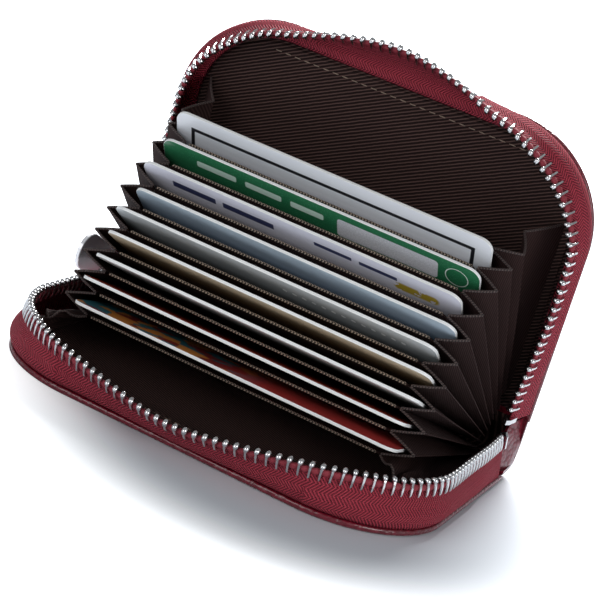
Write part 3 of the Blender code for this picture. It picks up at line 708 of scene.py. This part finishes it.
def ribbed(name, spacing, angle, width, low, high, depth):
    """Dark cloth with ribs in a lighter brown."""
    cloth, tree, surface, place = material(name, low, 0.82, more={"Specular IOR Level": 0.12})
    lines = shared(ribs, Vector=place["UV"], Spacing=spacing, Angle=math.radians(angle), Width=width)
    paint(surface, lines["Mask"], low, high)
    bump(lines["Height"], 0.5, depth, surface)
    return cloth


brown, rib = (0.013, 0.0066, 0.0060), (0.110, 0.062, 0.054)
lining_cloth = ribbed("lining_twill", 0.00083, 27.6, 3.5, brown, rib, 0.00022)


def normals_of(outline):
    """Outward directions along a closed outline that runs counter-clockwise."""
    ahead = np.roll(outline, -1, axis=0) - np.roll(outline, 1, axis=0)
    return unit(np.stack([ahead[:, 1], -ahead[:, 0]], axis=-1))


def joined(name, parts, materials, sharp=None):
    """One mesh object from several shapes (points, faces, uv, material number)."""
    points, faces = merged([(p.reshape(-1, 3), f) for p, f, uv, slot in parts])
    uv = [np.zeros((p.size // 3, 2)) if uv is None else uv.reshape(-1, 2) for p, f, uv, slot in parts]
    piece = build(name, points, faces, np.concatenate(uv), sharp)
    for mat in materials:
        piece.data.materials.append(mat)
    slots = [slot for p, f, uv, slot in parts for face in f]
    piece.data.polygons.foreach_set("material_index", np.array(slots, np.int32))
    outward(piece)
    return piece


def panel_shape(place, outline, thickness, hem, both=False):
    """A flat closed cloth panel. Its border, hem (width, lift), is doubled and stands up from the cloth."""
    width, lift = hem
    # each ring's distance from the edge, its share of the way out from the middle, and its share of the lift
    rings = [(0.0, 1.0, 0.55), (0.00012, 1.0, 0.9), (0.0003, 1.0, 1.0), (width, 1.0, 1.0)]
    rings += [(width + 0.0003, share, 0.0) for share in (1.0, 0.85, 0.6, 0.3, 0.01)]
    rise = [(draw, share, thickness + level * lift) for draw, share, level in rings]
    if both:
        half = thickness / 2
        profile = [(draw, share, half - height) for draw, share, height in rise[::-1]]
        profile += [(draw, share, height - half) for draw, share, height in rise]
    else:
        profile = [(width, share, 0.0) for share in (0.01, 0.3, 0.6, 0.85, 1.0)] + [(0.0, 1.0, 0.0)] + rise
    draw, share, height = np.array(profile).T[..., None]
    drawn = outline[None] - normals_of(outline)[None] * draw[..., None]
    middle = outline.mean(axis=0)
    flat = middle + (drawn - middle) * share[..., None]
    return place(flat[..., 0], flat[..., 1], height), tube_faces(*flat.shape[:2]), flat


thread, tree, surface, place = material("tan_thread", (0.42, 0.31, 0.22), 0.6)
twist = node(tree, "TexWave", {"Vector": place["Object"], "Scale": 900.0}).outputs["Fac"]
paint(surface, twist, (0.11, 0.075, 0.055), (0.30, 0.22, 0.16))

LINING_THICKNESS = 0.0004
FIT_GAP = 0.0003
SLIP_THICKNESS, SLIP_LIFT = 0.0003, 0.00014
STITCH_PITCH = 0.0027
for body, prefix in COVERS:

    def lying(base, body=body):
        return lambda x, depth, height: on_cover(body, x, depth, base + height)

    inner = SEAM_INSET + TAPE_FOOT + FIT_GAP
    outline = rounded_outline(COVER_LENGTH / 2 - inner, 0.0, COVER_DEPTH - inner, COVER_CORNER - inner, 24, 12)
    shape = panel_shape(lying(TAPE_BASE), outline, LINING_THICKNESS, (0.001, 0.00002))
    lining = solid(prefix + "_lining_cloth", lining_cloth, *shape, 40)
    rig.replaces(lining, prefix + "_lining")
    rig.ride(lining, body)
    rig.slot(lining, "twill")

    inner += 0.0006
    outline = rounded_outline(COVER_LENGTH / 2 - inner, 0.0, COVER_DEPTH - inner, COVER_CORNER - inner, 24, 40)
    top = TAPE_BASE + LINING_THICKNESS + FIT_GAP
    shape = panel_shape(lying(top), outline, SLIP_THICKNESS, (0.0032, SLIP_LIFT))
    slip = solid(prefix + "_slip_cloth", lining_cloth, *shape, 40)
    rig.replaces(slip, prefix + "_panel")
    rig.ride(slip, body)
    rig.slot(slip, "twill")

    reach = COVER_LENGTH / 2 - COVER_CORNER + 0.004
    x = np.arange(0.001, 2 * reach, STITCH_PITCH) - reach
    depth, height = COVER_DEPTH - inner - 0.0021, top + SLIP_THICKNESS + SLIP_LIFT
    origin = on_cover(body, x, depth, height)
    toward = on_cover(body, x + 1e-3, depth, height) - origin
    rise = on_cover(body, x, depth, height + 1e-3) - origin
    axes = [unit(v) for v in (toward, np.cross(rise, toward), rise)]
    template, faces = ball((0, 0, 0), (0.00010, 0.00015, 0.00090), 6, 6)
    stitches = solid(prefix + "_stitches", thread, *repeated(template[:, [2, 1, 0]], faces, origin, axes))
    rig.ride(stitches, body)

# Spine: the same leather between the covers, in one slack bend that bulges out behind them. It bends with the
# cover fold.


def bezier(knots, t):
    """Points of a cubic Bezier curve with four knots."""
    a, b, c, d = knots
    return (1 - t) ** 3 * a + 3 * t * (1 - t) ** 2 * b + 3 * t * t * (1 - t) * c + t**3 * d


def bezier_run(knots, t):
    """The curve's direction of travel, not of unit length."""
    a, b, c, d = knots
    return 3 * (1 - t) ** 2 * (b - a) + 6 * t * (1 - t) * (c - b) + 3 * t * t * (d - c)


start = np.array([ROOT_Y + 0.0012, LEATHER_THICKNESS / 2])
root, turn = place_of["rear_cover"]
end = root - 0.0012 * np.array([-math.cos(turn), math.sin(turn)])
end = end + (COVER_STACK - LEATHER_THICKNESS / 2) * np.array([math.sin(turn), math.cos(turn)])
gone = np.array([-math.cos(turn), math.sin(turn)])
pull = np.linalg.norm(end - start) * 0.66
knots = np.stack([start, start + np.array([pull, 0.0]), end - gone * pull, end])
x = np.linspace(-1, 1, 61)[None, :] * COVER_LENGTH / 2
SPINE_END = COVER_LENGTH / 2 - 0.0014
curl = 0.0016 * np.clip((np.abs(x) - 0.0515) / 0.0055, 0, 1) ** 2
t = np.linspace(0, 1, 49)[:, None]
spots = bezier(knots, t)
run = unit(bezier_run(knots, t))
away = np.stack([run[:, 1], -run[:, 0]], axis=-1)
half = LEATHER_THICKNESS / 2
inside = -half - curl
outside = half - curl - 0.00035 * np.clip((np.abs(x) - 0.0560) / 0.001, 0, 1) ** 2
ring_x = np.concatenate([x, x[:, ::-1]], axis=1)
ring_off = np.concatenate([outside, inside[:, ::-1]], axis=1)
yz = spots[:, None] + away[:, None] * ring_off[..., None]
points = np.stack(np.broadcast_arrays(ring_x, yz[..., 0], yz[..., 1]), axis=-1)
rows, columns = points.shape[:2]
faces = quads(rows, columns, closed=True).tolist()
side = columns // 2
for low in (0, (rows - 1) * columns):
    faces += [[low + j, low + j + 1, low + columns - 2 - j, low + columns - 1 - j] for j in range(side - 1)]
bend = solid("spine_skin", leather, points, faces, None, 50)
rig.replaces(bend, "spine_leather")
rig.blend(bend, "front_cover", "rear_cover", (0.0, *start), (0.0, *end))
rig.slot(bend, "leather")

# Spine lining: a dark strip of the lining's cloth, glued inside the bend behind the feet of the dividers. It bends
# with the spine.

STRIP_HALF_LENGTH = 0.0520
STRIP_THICKNESS = 0.0004


def sheet(points, thickness, uv):
    """Points, faces and uv of a closed cloth sheet of one thickness over a grid of points."""
    offset = unit(np.cross(np.gradient(points, axis=0), np.gradient(points, axis=1))) * thickness / 2
    rows, columns = points.shape[:2]
    total = rows * columns
    both = np.concatenate([(points + offset).reshape(-1, 3), (points - offset).reshape(-1, 3)])
    top = quads(rows, columns)
    faces = top.tolist() + (top[:, ::-1] + total).tolist()
    index = np.arange(total).reshape(rows, columns)
    border = np.concatenate([index[0, :-1], index[:-1, -1], index[-1, :0:-1], index[:0:-1, 0]])
    after = np.roll(border, -1)
    faces += np.stack([after, border, border + total, after + total], axis=-1).tolist()
    flat = uv.reshape(-1, 2)
    return both, faces, np.concatenate([flat, flat])


t = np.linspace(0.03, 0.97, 31)[:, None]
run = unit(bezier_run(knots, t))
line = bezier(knots, t) - np.stack([run[:, 1], -run[:, 0]], axis=-1) * (half + 0.0005)
x = np.linspace(-STRIP_HALF_LENGTH, STRIP_HALF_LENGTH, 41)
grid = np.stack(np.broadcast_arrays(x[None, :], line[:, :1], line[:, 1:]), axis=-1)
points, faces, flat = sheet(grid, STRIP_THICKNESS, grid[..., :2])
strip = solid("spine_lining_strip", lining_cloth, points, faces, flat, 50)
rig.blend(strip, "front_cover", "rear_cover", (0.0, *start), (0.0, *end))
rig.slot(strip, "twill")

# Spine ends: at both ends of the spine the leather is folded over and closes the bend between the covers. On the
# right it reaches on past the end stops, so the shut case has no hole there.

t = np.linspace(0.03, 0.97, 41)[:, None]
curve = bezier(knots, t)
chord = (1 - t) * knots[0] + t * knots[3]
for side, word, inner_end in ((-1, "left", 0.0), (1, "right", -0.8)):
    u = np.linspace(inner_end, 1, 13)[None, :]
    yz = chord[:, None] * (1 - u[..., None]) + curve[:, None] * u[..., None]
    bulge = np.where(u > 0, np.sin(np.pi * u), 2.4 * u)
    reach = SPINE_END + (0.0011 * bulge - 0.0003 * np.sin(5 * np.pi * t) * u) * np.sin(np.pi * t)
    grid = np.concatenate([side * reach[..., None], yz], axis=-1)
    points, faces, flat = sheet(grid, 0.0008, yz)
    end_cap = solid(f"spine_end_{word}", leather, points, faces, flat, 50)
    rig.blend(end_cap, "front_cover", "rear_cover", (0.0, *start), (0.0, *end))
    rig.slot(end_cap, "leather")

# Dividers: ten leaves of the same dark cloth, doubled and edged with fine overcast stitches along the top. The
# foot of each closes the pocket behind it.

DIVIDER_LENGTH = 0.0788
DIVIDER_HEIGHT = 0.0510
DIVIDER_THICKNESS = 0.00035
cloth = ribbed("divider_twill", 0.00045, 62.0, 2.0, (0.017, 0.0088, 0.0080), (0.056, 0.030, 0.027), 0.00008)

# overcast: slanted threads wound over an edge; the second coordinate is the turn round it
overcast, take, give = group("overcast", {"Vector": None, "Pitch": 0.00055}, ("Mask",))
flat = node(overcast, "SeparateXYZ", (take[0],)).outputs
winding = maths("ADD", maths("DIVIDE", flat[0], take[1]), flat[1])
feed(give[0], maths("POWER", sine_turns(winding), 2.2))


def edging(name, pitch, low, high):
    """Dark cloth edge with light stitches wound over it."""
    mat, tree, surface, place = material(name, low, 0.75)
    wound = shared(overcast, Vector=place["UV"], Pitch=pitch)["Mask"]
    paint(surface, wound, low, high)
    bump(wound, 0.8, 0.00015, surface)
    return mat


fine_edge = edging("fine_edging", 0.0008, (0.006, 0.0035, 0.003), (0.50, 0.38, 0.29))
bold_edge = edging("bold_edging", 0.0007, (0.020, 0.012, 0.012), (0.105, 0.070, 0.062))


def tube(path, radius, sides=6):
    """Points, faces and uv (length, turn) of a closed tube along a path of points."""
    ahead = unit(np.gradient(path, axis=0))
    first = unit(np.cross(ahead, (0.31, 0.52, 0.80)))[:, None]
    second = np.cross(ahead, first[:, 0])[:, None]
    a = np.linspace(0, 2 * np.pi, sides, endpoint=False)
    points = path[:, None] + radius * (first * np.cos(a)[:, None] + second * np.sin(a)[:, None])
    length = np.concatenate([[0.0], np.cumsum(np.linalg.norm(np.diff(path, axis=0), axis=1))])
    uv = np.stack(np.broadcast_arrays(length[:, None], a[None, :] / (2 * np.pi)), axis=-1)
    return points, tube_faces(len(path), sides), uv


for k in range(1, LEAVES):
    body = f"leaf_{k:02d}"
    outline = rounded_outline(DIVIDER_LENGTH / 2, 0.0, DIVIDER_HEIGHT, 0.002, 5, 24)
    lying = lambda x, depth, off: on_leaf(body, x, depth, off)
    shape = panel_shape(lying, outline, DIVIDER_THICKNESS, (0.0022, 0.00007), True)
    along = np.linspace(-DIVIDER_LENGTH / 2 + 0.001, DIVIDER_LENGTH / 2 - 0.001, 60)
    edge_tube = tube(on_leaf(body, along, DIVIDER_HEIGHT - 0.0001, 0.0), 0.00033)
    far = POCKET_PITCH - FIT_GAP if k < LEAVES - 1 else 0.0008
    corners = np.array([(a, b, c) for a in (-1, 1) for b in (0.0, 0.0004) for c in (0.0001, far)])
    foot = on_leaf(body, corners[:, 0] * DIVIDER_LENGTH / 2, corners[:, 1], corners[:, 2])
    foot_faces = [(0, 1, 3, 2), (4, 6, 7, 5), (0, 4, 5, 1), (2, 3, 7, 6), (0, 2, 6, 4), (1, 5, 7, 3)]
    parts = [(*shape, 0), (*edge_tube, 1), (foot, foot_faces, None, 0)]
    divider = joined(f"divider_cloth_{k:02d}", parts, [cloth, fine_edge], 40)
    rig.replaces(divider, f"divider_{k:02d}")
    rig.ride(divider, body)
    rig.slot(divider, "twill")

# Side folds: a strip of cloth between each pair of leaves on both sides, creased outwards, with whipped top edges.
# Each fold is two walls that meet at the crease. The rear fold has a second crease and a wall sewn to the cover.

FOLD_SLANT = 0.0100
FOLD_TOP_SLANT = 0.0079
# painted shade: the fold cloth is the dividers' twill in a darker tone, for the shade on the fold walls
gusset = ribbed("gusset_twill", 0.00042, 80.0, 1.5, (0.017, 0.0080, 0.0076), (0.044, 0.023, 0.021), 0.00006)
part = np.linspace(0, 1, 15)[:, None]
across = np.linspace(0, 1, 13)[None, :]


def span(first, last, low, high):
    """Start and end of a blend that gives two points their shares, low and high, of the body's turn."""
    t = [0.5 + math.sin(math.asin(2 * share - 1) / 3) for share in (low, high)]
    whole = (np.array(last) - np.array(first)) / (t[1] - t[0])
    return tuple(first - whole * t[0]), tuple(first + whole * (1 - t[0]))


def wall(name, low_body, high_body, depth, first, last, side, bow, body, ends, ripple=0.0):
    """One wall of a fold. first and last are (x from the divider's side, share of the gap) at each depth. It bends
    with the hinge of one body, between two end points."""
    low = on_leaf(low_body, 0.0, depth, 0.0002 if low_body == "front_cover" else 0.0)
    high = on_leaf(high_body, 0.0, depth, 0.0)
    x, share = (first[i] * (1 - across) + last[i] * across for i in (0, 1))
    share = share + ripple
    x = x + bow * np.sin(np.pi * across) * (0.3 + 0.7 * part)
    points = low * (1 - share[..., None]) + high * share[..., None]
    points[..., 0] = side * (DIVIDER_LENGTH / 2 + FIT_GAP + x)
    uv = np.stack(np.broadcast_arrays(x, depth), axis=-1)
    grid = sheet(points, 0.00026, uv)
    rim = tube(points[-1], 0.00030)
    piece = joined(name, [(*grid, 0), (*rim, 1)], [gusset, bold_edge], 40)
    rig.blend(piece, "front_cover", body, *ends)
    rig.slot(piece, "twill")
    return piece


for k in range(1, LEAVES + 1):
    low_body = "front_cover" if k == 1 else f"leaf_{k - 1:02d}"
    high_body = f"leaf_{k:02d}" if k < LEAVES else "rear_cover"
    begin = 0.0050 if k in (1, LEAVES) else 0.0012
    depth = begin + part * (DIVIDER_HEIGHT - begin)
    turns = [place_of[b][1] for b in (low_body, high_body)]
    for side, word in ((-1, "left"), (1, "right")):
        fold = f"fold_{word}_{k:02d}"
        if 1 < k < LEAVES:
            gap = on_leaf(high_body, 0.0, depth, 0.0) - on_leaf(low_body, 0.0, depth, 0.0)
            gap = np.linalg.norm(gap, axis=-1)
            slant = FOLD_SLANT + (FOLD_TOP_SLANT - FOLD_SLANT) * part
            reach = np.sqrt(slant**2 - gap**2 / 4)
            middle = sum(turns) / 2
            edge = side * (DIVIDER_LENGTH / 2 + FIT_GAP)
            near, mean = ((edge + side * r, 0.0, 0.0) for r in (reach.min(), reach.mean()))
            edge = (edge, 0.0, 0.0)
            turning = [
                (f"pocket_{k - 1:02d}", span(edge, near, turns[0] / middle, 1.0)),
                (high_body, span(mean, edge, middle / turns[1], 1.0)),
            ]
            spots = [(0.0, 0.03), (reach, 0.5), (0.0, 0.97)]
        elif k == LEAVES:
            crease, valley = 0.30 - 0.17 * part, 0.60 - 0.06 * part
            out, back_x = FOLD_SLANT * (1 - 0.28 * part), FOLD_SLANT * (0.70 - 0.36 * part)
            spots = [(0.0, 0.02), (out, crease), (back_x, valley), (0.0100, 0.985)]
            # the creases run slanting down the fold; the cloth bends along lines beside them
            drift = FOLD_SLANT * (0.28 + 0.36) / 2 / (DIVIDER_HEIGHT - begin)
            middle = sum(turns) / 2
            ray = np.array([side, -drift * math.cos(middle), drift * math.sin(middle)]) / math.hypot(1, drift)
            base = on_leaf(low_body, side * (DIVIDER_LENGTH / 2 + FIT_GAP), depth[7, 0], 0.0)
            far_out, far_back = out[7, 0], back_x[7, 0]
            line = [(0.0, turns[0] / turns[1]), (far_out, 0.78), (far_back, 0.88), (far_back + 0.003, 1.0)]
            turning = [
                (high_body, span(base + ray * a, base + ray * b, low_share, high_share))
                for (a, low_share), (b, high_share) in zip(line, line[1:])
            ]
        else:
            ends = span(on_leaf(low_body, 0.0, 0.028, 0.0), on_leaf(high_body, 0.0, 0.028, 0.0), 0.0, 1.0)
            turning = [(high_body, ends)] * 2
            crumple = 0.0010 * np.sin(19 * part) + 0.0006 * np.sin(43 * part + 1)
            spots = [(0.0098, 0.06), (0.0092 + crumple, 0.52 + 0.06 * np.sin(9 * part)), (0.0, 0.97)]
        bow, ripple, full_depth = 0.00035, 0.0, depth
        if k == 1:
            # the slack cloth at the mouth pushes forward and wrinkles
            slack = part**3 * np.sin(np.pi * across)
            bow, full_depth = 0.0022, depth + 0.0052 * slack
            ripple = 0.13 * slack * np.sin(5 * np.pi * across + 9 * part)
        for n, (first, last) in enumerate(zip(spots, spots[1:])):
            name = f"{fold}_wall_{n + 1}"
            piece = wall(name, low_body, high_body, full_depth, first, last, side, bow, *turning[n], ripple)
            if n == 0:
                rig.replaces(piece, fold)

# Cards: nine plastic cards of the standard size, with white edges and a plain generic print each, front to rear.
# Places on a card run from its lower left corner.

CARD_LENGTH = 0.0856
CARD_HEIGHT = 0.05398
CARD_THICKNESS = 0.00076
CARD_CORNER = 0.00318
CARD_LIFTS = (0.0046, 0.0038, 0.0043, 0.0038, 0.0024, 0.0008, 0.0008, 0.0011, 0.0030)
CARD_SHIFTS = (0.0013, 0.0005, 0.0013, 0.0012, -0.0006, 0.0008, -0.0013, -0.0004, -0.0013)

# block: 1 inside a rectangle with round corners, placed on the card in metres
block, take, give = group(
    "block", {"Vector": None, "Centre": None, "Half": None, "Radius": 0.0005, "Soft": 0.00005}, ("Mask",)
)
past = vectors("ABSOLUTE", vectors("SUBTRACT", take[0], take[1]))
past = vectors("SUBTRACT", past, take[2])
past = vectors("ADD", past, node(block, "CombineXYZ", (take[3], take[3])).outputs[0])
past = node(block, "SeparateXYZ", (vectors("MAXIMUM", past, (0.0, 0.0, -1.0)),)).outputs
squares = maths("ADD", maths("POWER", past[0], 2.0), maths("POWER", past[1], 2.0))
distance = maths("SUBTRACT", maths("SQRT", squares), take[3])
level = maths("MULTIPLY_ADD", maths("DIVIDE", distance, take[4]), -0.5, 0.5)
feed(give[0], node(block, "Clamp", (level,)).outputs[0])

faces_of = []


def card_base(word, low, high):
    """A card's plastic, in one tone at the foot and another at the top; a darker foot is painted shade of the pocket.
    Returns its tree, the shader's inputs, the flat place with its two numbers, the colour so far and a fine speckle."""
    coat = {"Coat Weight": 0.3, "Coat Roughness": 0.15}
    mat, tree, surface, place = material("print_" + word, high, 0.32, more=coat)
    faces_of.append(("card_" + word, mat))
    flat = place["UV"]
    at = node(tree, "SeparateXYZ", (flat,)).outputs
    # painted shade: from 53 mm down to 40 mm up the card the colour goes over to the foot tone, darker on all but the
    # front card
    rise = node(tree, "MapRange", {"Value": at[1], "From Min": 0.040, "From Max": 0.053}).outputs[0]
    return tree, surface, flat, at, mix_colour(rise, low, high), noise(flat, 2400.0)


def stamp(flat, centre, half, radius=0.0002, soft=0.00006):
    """The mask of a rounded rectangle; centre and half size in millimetres."""
    centre, half = ((pair[0] / 1000, pair[1] / 1000, 0) for pair in (centre, half))
    return shared(block, Vector=flat, Centre=centre, Half=half, Radius=radius, Soft=soft)[0]


edge_white, tree, surface, place = material("card_edge", (0.86, 0.86, 0.85), 0.4)
paint(surface, noise(place["Object"], 1500.0), (0.80, 0.80, 0.79), (0.92, 0.92, 0.91))

# front card: teal, orange and dark red patches on the left, salmon red on the right
tree, surface, flat, at, base, grit = card_base("coral", (0.50, 0.06, 0.05), (0.42, 0.035, 0.035))
patch = node(tree, "ValToRGB", (node(tree, "TexVoronoi", {"Vector": flat, "Scale": 230.0}).outputs["Color"],))
steps = patch.color_ramp.elements
patch.color_ramp.interpolation = "CONSTANT"
steps.remove(steps[1])
steps[0].color = (0.03, 0.16, 0.20, 1.0)
for position, colour in ((0.36, (0.62, 0.25, 0.05)), (0.62, (0.22, 0.02, 0.02)), (0.82, (0.05, 0.20, 0.24))):
    steps.new(position).color = (*colour, 1.0)
fade = node(tree, "MapRange", {"Value": at[0], "From Min": 0.050, "From Max": 0.036}).outputs[0]
paint(surface, fade, base, patch.outputs[0])

# second to fourth card: dark orange red, plain ivory, and cream, all speckled and darker towards the foot with painted
# shade, the cream going brown there
for word, low, high, share, speck in (
    ("red", (0.12, 0.010, 0.006), (0.36, 0.040, 0.014), 0.25, (0.15, 0.02, 0.01)),
    ("ivory", (0.60, 0.58, 0.54), (0.80, 0.79, 0.76), 0.2, (0.7, 0.7, 0.7)),
    ("cream", (0.22, 0.12, 0.055), (0.68, 0.56, 0.40), 0.3, (0.45, 0.32, 0.18)),
):
    tree, surface, flat, at, base, grit = card_base(word, low, high)
    paint(surface, maths("MULTIPLY", grit, share), base, speck)

# fifth card: grey with a row of small raised white dots
tree, surface, flat, at, base, grit = card_base("grey", (0.30, 0.33, 0.34), (0.58, 0.61, 0.63))
cell = maths("SUBTRACT", maths("FRACT", maths("DIVIDE", at[0], 0.0026)), 0.5)
wide = maths("POWER", maths("DIVIDE", cell, 0.24), 2.0)
tall = maths("DIVIDE", maths("SUBTRACT", at[1], 0.0470), 0.00075)
dot = maths("LESS_THAN", maths("ADD", wide, maths("POWER", tall, 2.0)), 1.0)
for operation, end in (("GREATER_THAN", 0.044), ("LESS_THAN", 0.078)):
    dot = maths("MULTIPLY", dot, maths(operation, at[0], end))
paint(surface, dot, base, (0.86, 0.88, 0.88))
bump(dot, 0.6, 0.0003, surface)

# sixth card: pale blue that deepens towards the foot with painted shade, with a faint diagonal
tree, surface, flat, at, base, grit = card_base("blue", (0.17, 0.27, 0.42), (0.56, 0.66, 0.74))
slope = maths("MULTIPLY_ADD", at[0], 0.12, at[1])
streak = maths("SINE", maths("DIVIDE", slope, 0.0009))
paint(surface, maths("MULTIPLY_ADD", streak, 0.08, 0.08), base, (0.06, 0.10, 0.16))

# seventh card: lavender white, grey towards the foot with painted shade, navy bars and a golden patch
tree, surface, flat, at, base, grit = card_base("lavender", (0.46, 0.45, 0.50), (0.76, 0.75, 0.84))
for x, y, half in ((14, 49.2, (6, 1.1)), (29, 49.2, (7, 1.1)), (52, 50.0, (5, 0.7)), (64, 50.0, (5, 0.7))):
    base = mix_colour(stamp(flat, (x, y), half), base, (0.035, 0.04, 0.10))
patchy = maths("GREATER_THAN", noise(flat, 420.0), 0.43)
patchy = maths("MULTIPLY", stamp(flat, (74, 47.6), (5.8, 1.5), 0.0014, 0.0003), patchy)
paint(surface, patchy, base, (0.42, 0.30, 0.03))

# eighth card: speckled green, a blank pale label, a thin ring and three pale bars
tree, surface, flat, at, base, grit = card_base("green", (0.014, 0.115, 0.050), (0.020, 0.150, 0.062))
specks = maths("MULTIPLY", maths("GREATER_THAN", grit, 0.60), 0.35)
base = mix_colour(specks, base, (0.08, 0.30, 0.16))
for x, half_length in ((15, 5.5), (28, 5.0), (40, 4.5)):
    bar = stamp(flat, (x, 49.6), (half_length, 1.0), 0.0005)
    base = mix_colour(bar, base, (0.55, 0.70, 0.60))
pale = mix_colour(grit, (0.42, 0.42, 0.45), (0.82, 0.82, 0.86))
base = mix_colour(stamp(flat, (61.5, 48.6), (13.3, 3.1), 0.001), base, pale)
ring = vectors("LENGTH", vectors("SUBTRACT", flat, (0.0797, 0.0488, 0.0)))
ring = maths("ABSOLUTE", maths("SUBTRACT", ring, 0.0029))
paint(surface, maths("LESS_THAN", ring, 0.00012), base, (0.70, 0.78, 0.72))

# ninth card: grey white with a thin black frame, greyer towards the foot with painted shade
tree, surface, flat, at, base, grit = card_base("white", (0.68, 0.70, 0.75), (0.80, 0.81, 0.86))
outer, inner = (stamp(flat, (42.8, 25.0), half) for half in ((38.6, 25.2), (37.6, 24.2)))
paint(surface, maths("SUBTRACT", outer, inner), base, (0.012, 0.012, 0.016))

arc = np.linspace(0, np.pi / 2, 9)
arc = CARD_CORNER * np.stack([np.cos(arc), np.sin(arc)], axis=-1)
long, high = CARD_LENGTH - CARD_CORNER, CARD_HEIGHT - CARD_CORNER
corners = [np.array([long, high]) + arc, np.array([CARD_CORNER, high]) + arc[:, ::-1] * (-1, 1)]
corners += [CARD_CORNER - arc, np.array([long, CARD_CORNER]) + arc[:, ::-1] * (1, -1)]
outline = np.concatenate(corners)
half, soft = CARD_THICKNESS / 2, 0.00010
profile = [(soft, -half), (0.3 * soft, 0.3 * soft - half), (0.0, soft - half)]
profile += [(draw, -off) for draw, off in profile[::-1]]
draw, off = (np.array(c)[:, None] for c in zip(*profile))
flat = outline[None] - normals_of(outline)[None] * draw[..., None]
for k, (lift, shift, (slot_name, face_mat)) in enumerate(zip(CARD_LIFTS, CARD_SHIFTS, faces_of), 1):
    points = on_leaf(f"pocket_{k:02d}", flat[..., 0] + shift - CARD_LENGTH / 2, flat[..., 1] + lift, off)
    faces = tube_faces(*flat.shape[:2])
    card = solid(f"card_plastic_{k:02d}", edge_white, points, faces, flat, 30)
    card.data.materials.append(face_mat)
    card.data.polygons.foreach_set("material_index", np.array([0] * (len(faces) - 2) + [1, 1], np.int32))
    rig.replaces(card, f"card_{k:02d}")
    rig.ride(card, f"card_{k:02d}_body")
    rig.slot(card, slot_name)

# Slider, puller and end stops: cast nickel. Their CAD shapes are true, so they stay and get the metal and softened
# edges.

satin, tree, surface, place = material("satin_nickel", (0.88, 0.88, 0.90), 0.38, 0.5)
paint(surface, noise(place["Object"], 500.0), (0.84, 0.85, 0.88), (0.95, 0.95, 0.97))

for name in ("slider", "puller", "front_stop", "rear_stop"):
    part_object = frame["nodes"][name]
    part_object.data.materials.clear()
    part_object.data.materials.append(satin if name == "puller" else nickel)
    soft_edge = part_object.modifiers.new("soft_edge", "BEVEL")
    soft_edge.width = 0.00022
    soft_edge.segments = 3
    soft_edge.limit_method = "ANGLE"
    soft_edge.angle_limit = math.radians(35)

visual_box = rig.bounds()
with open("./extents.json", "w") as sizes:
    json.dump({"cad": [list(c) for c in cad_box], "visual": [list(c) for c in visual_box]}, sizes)
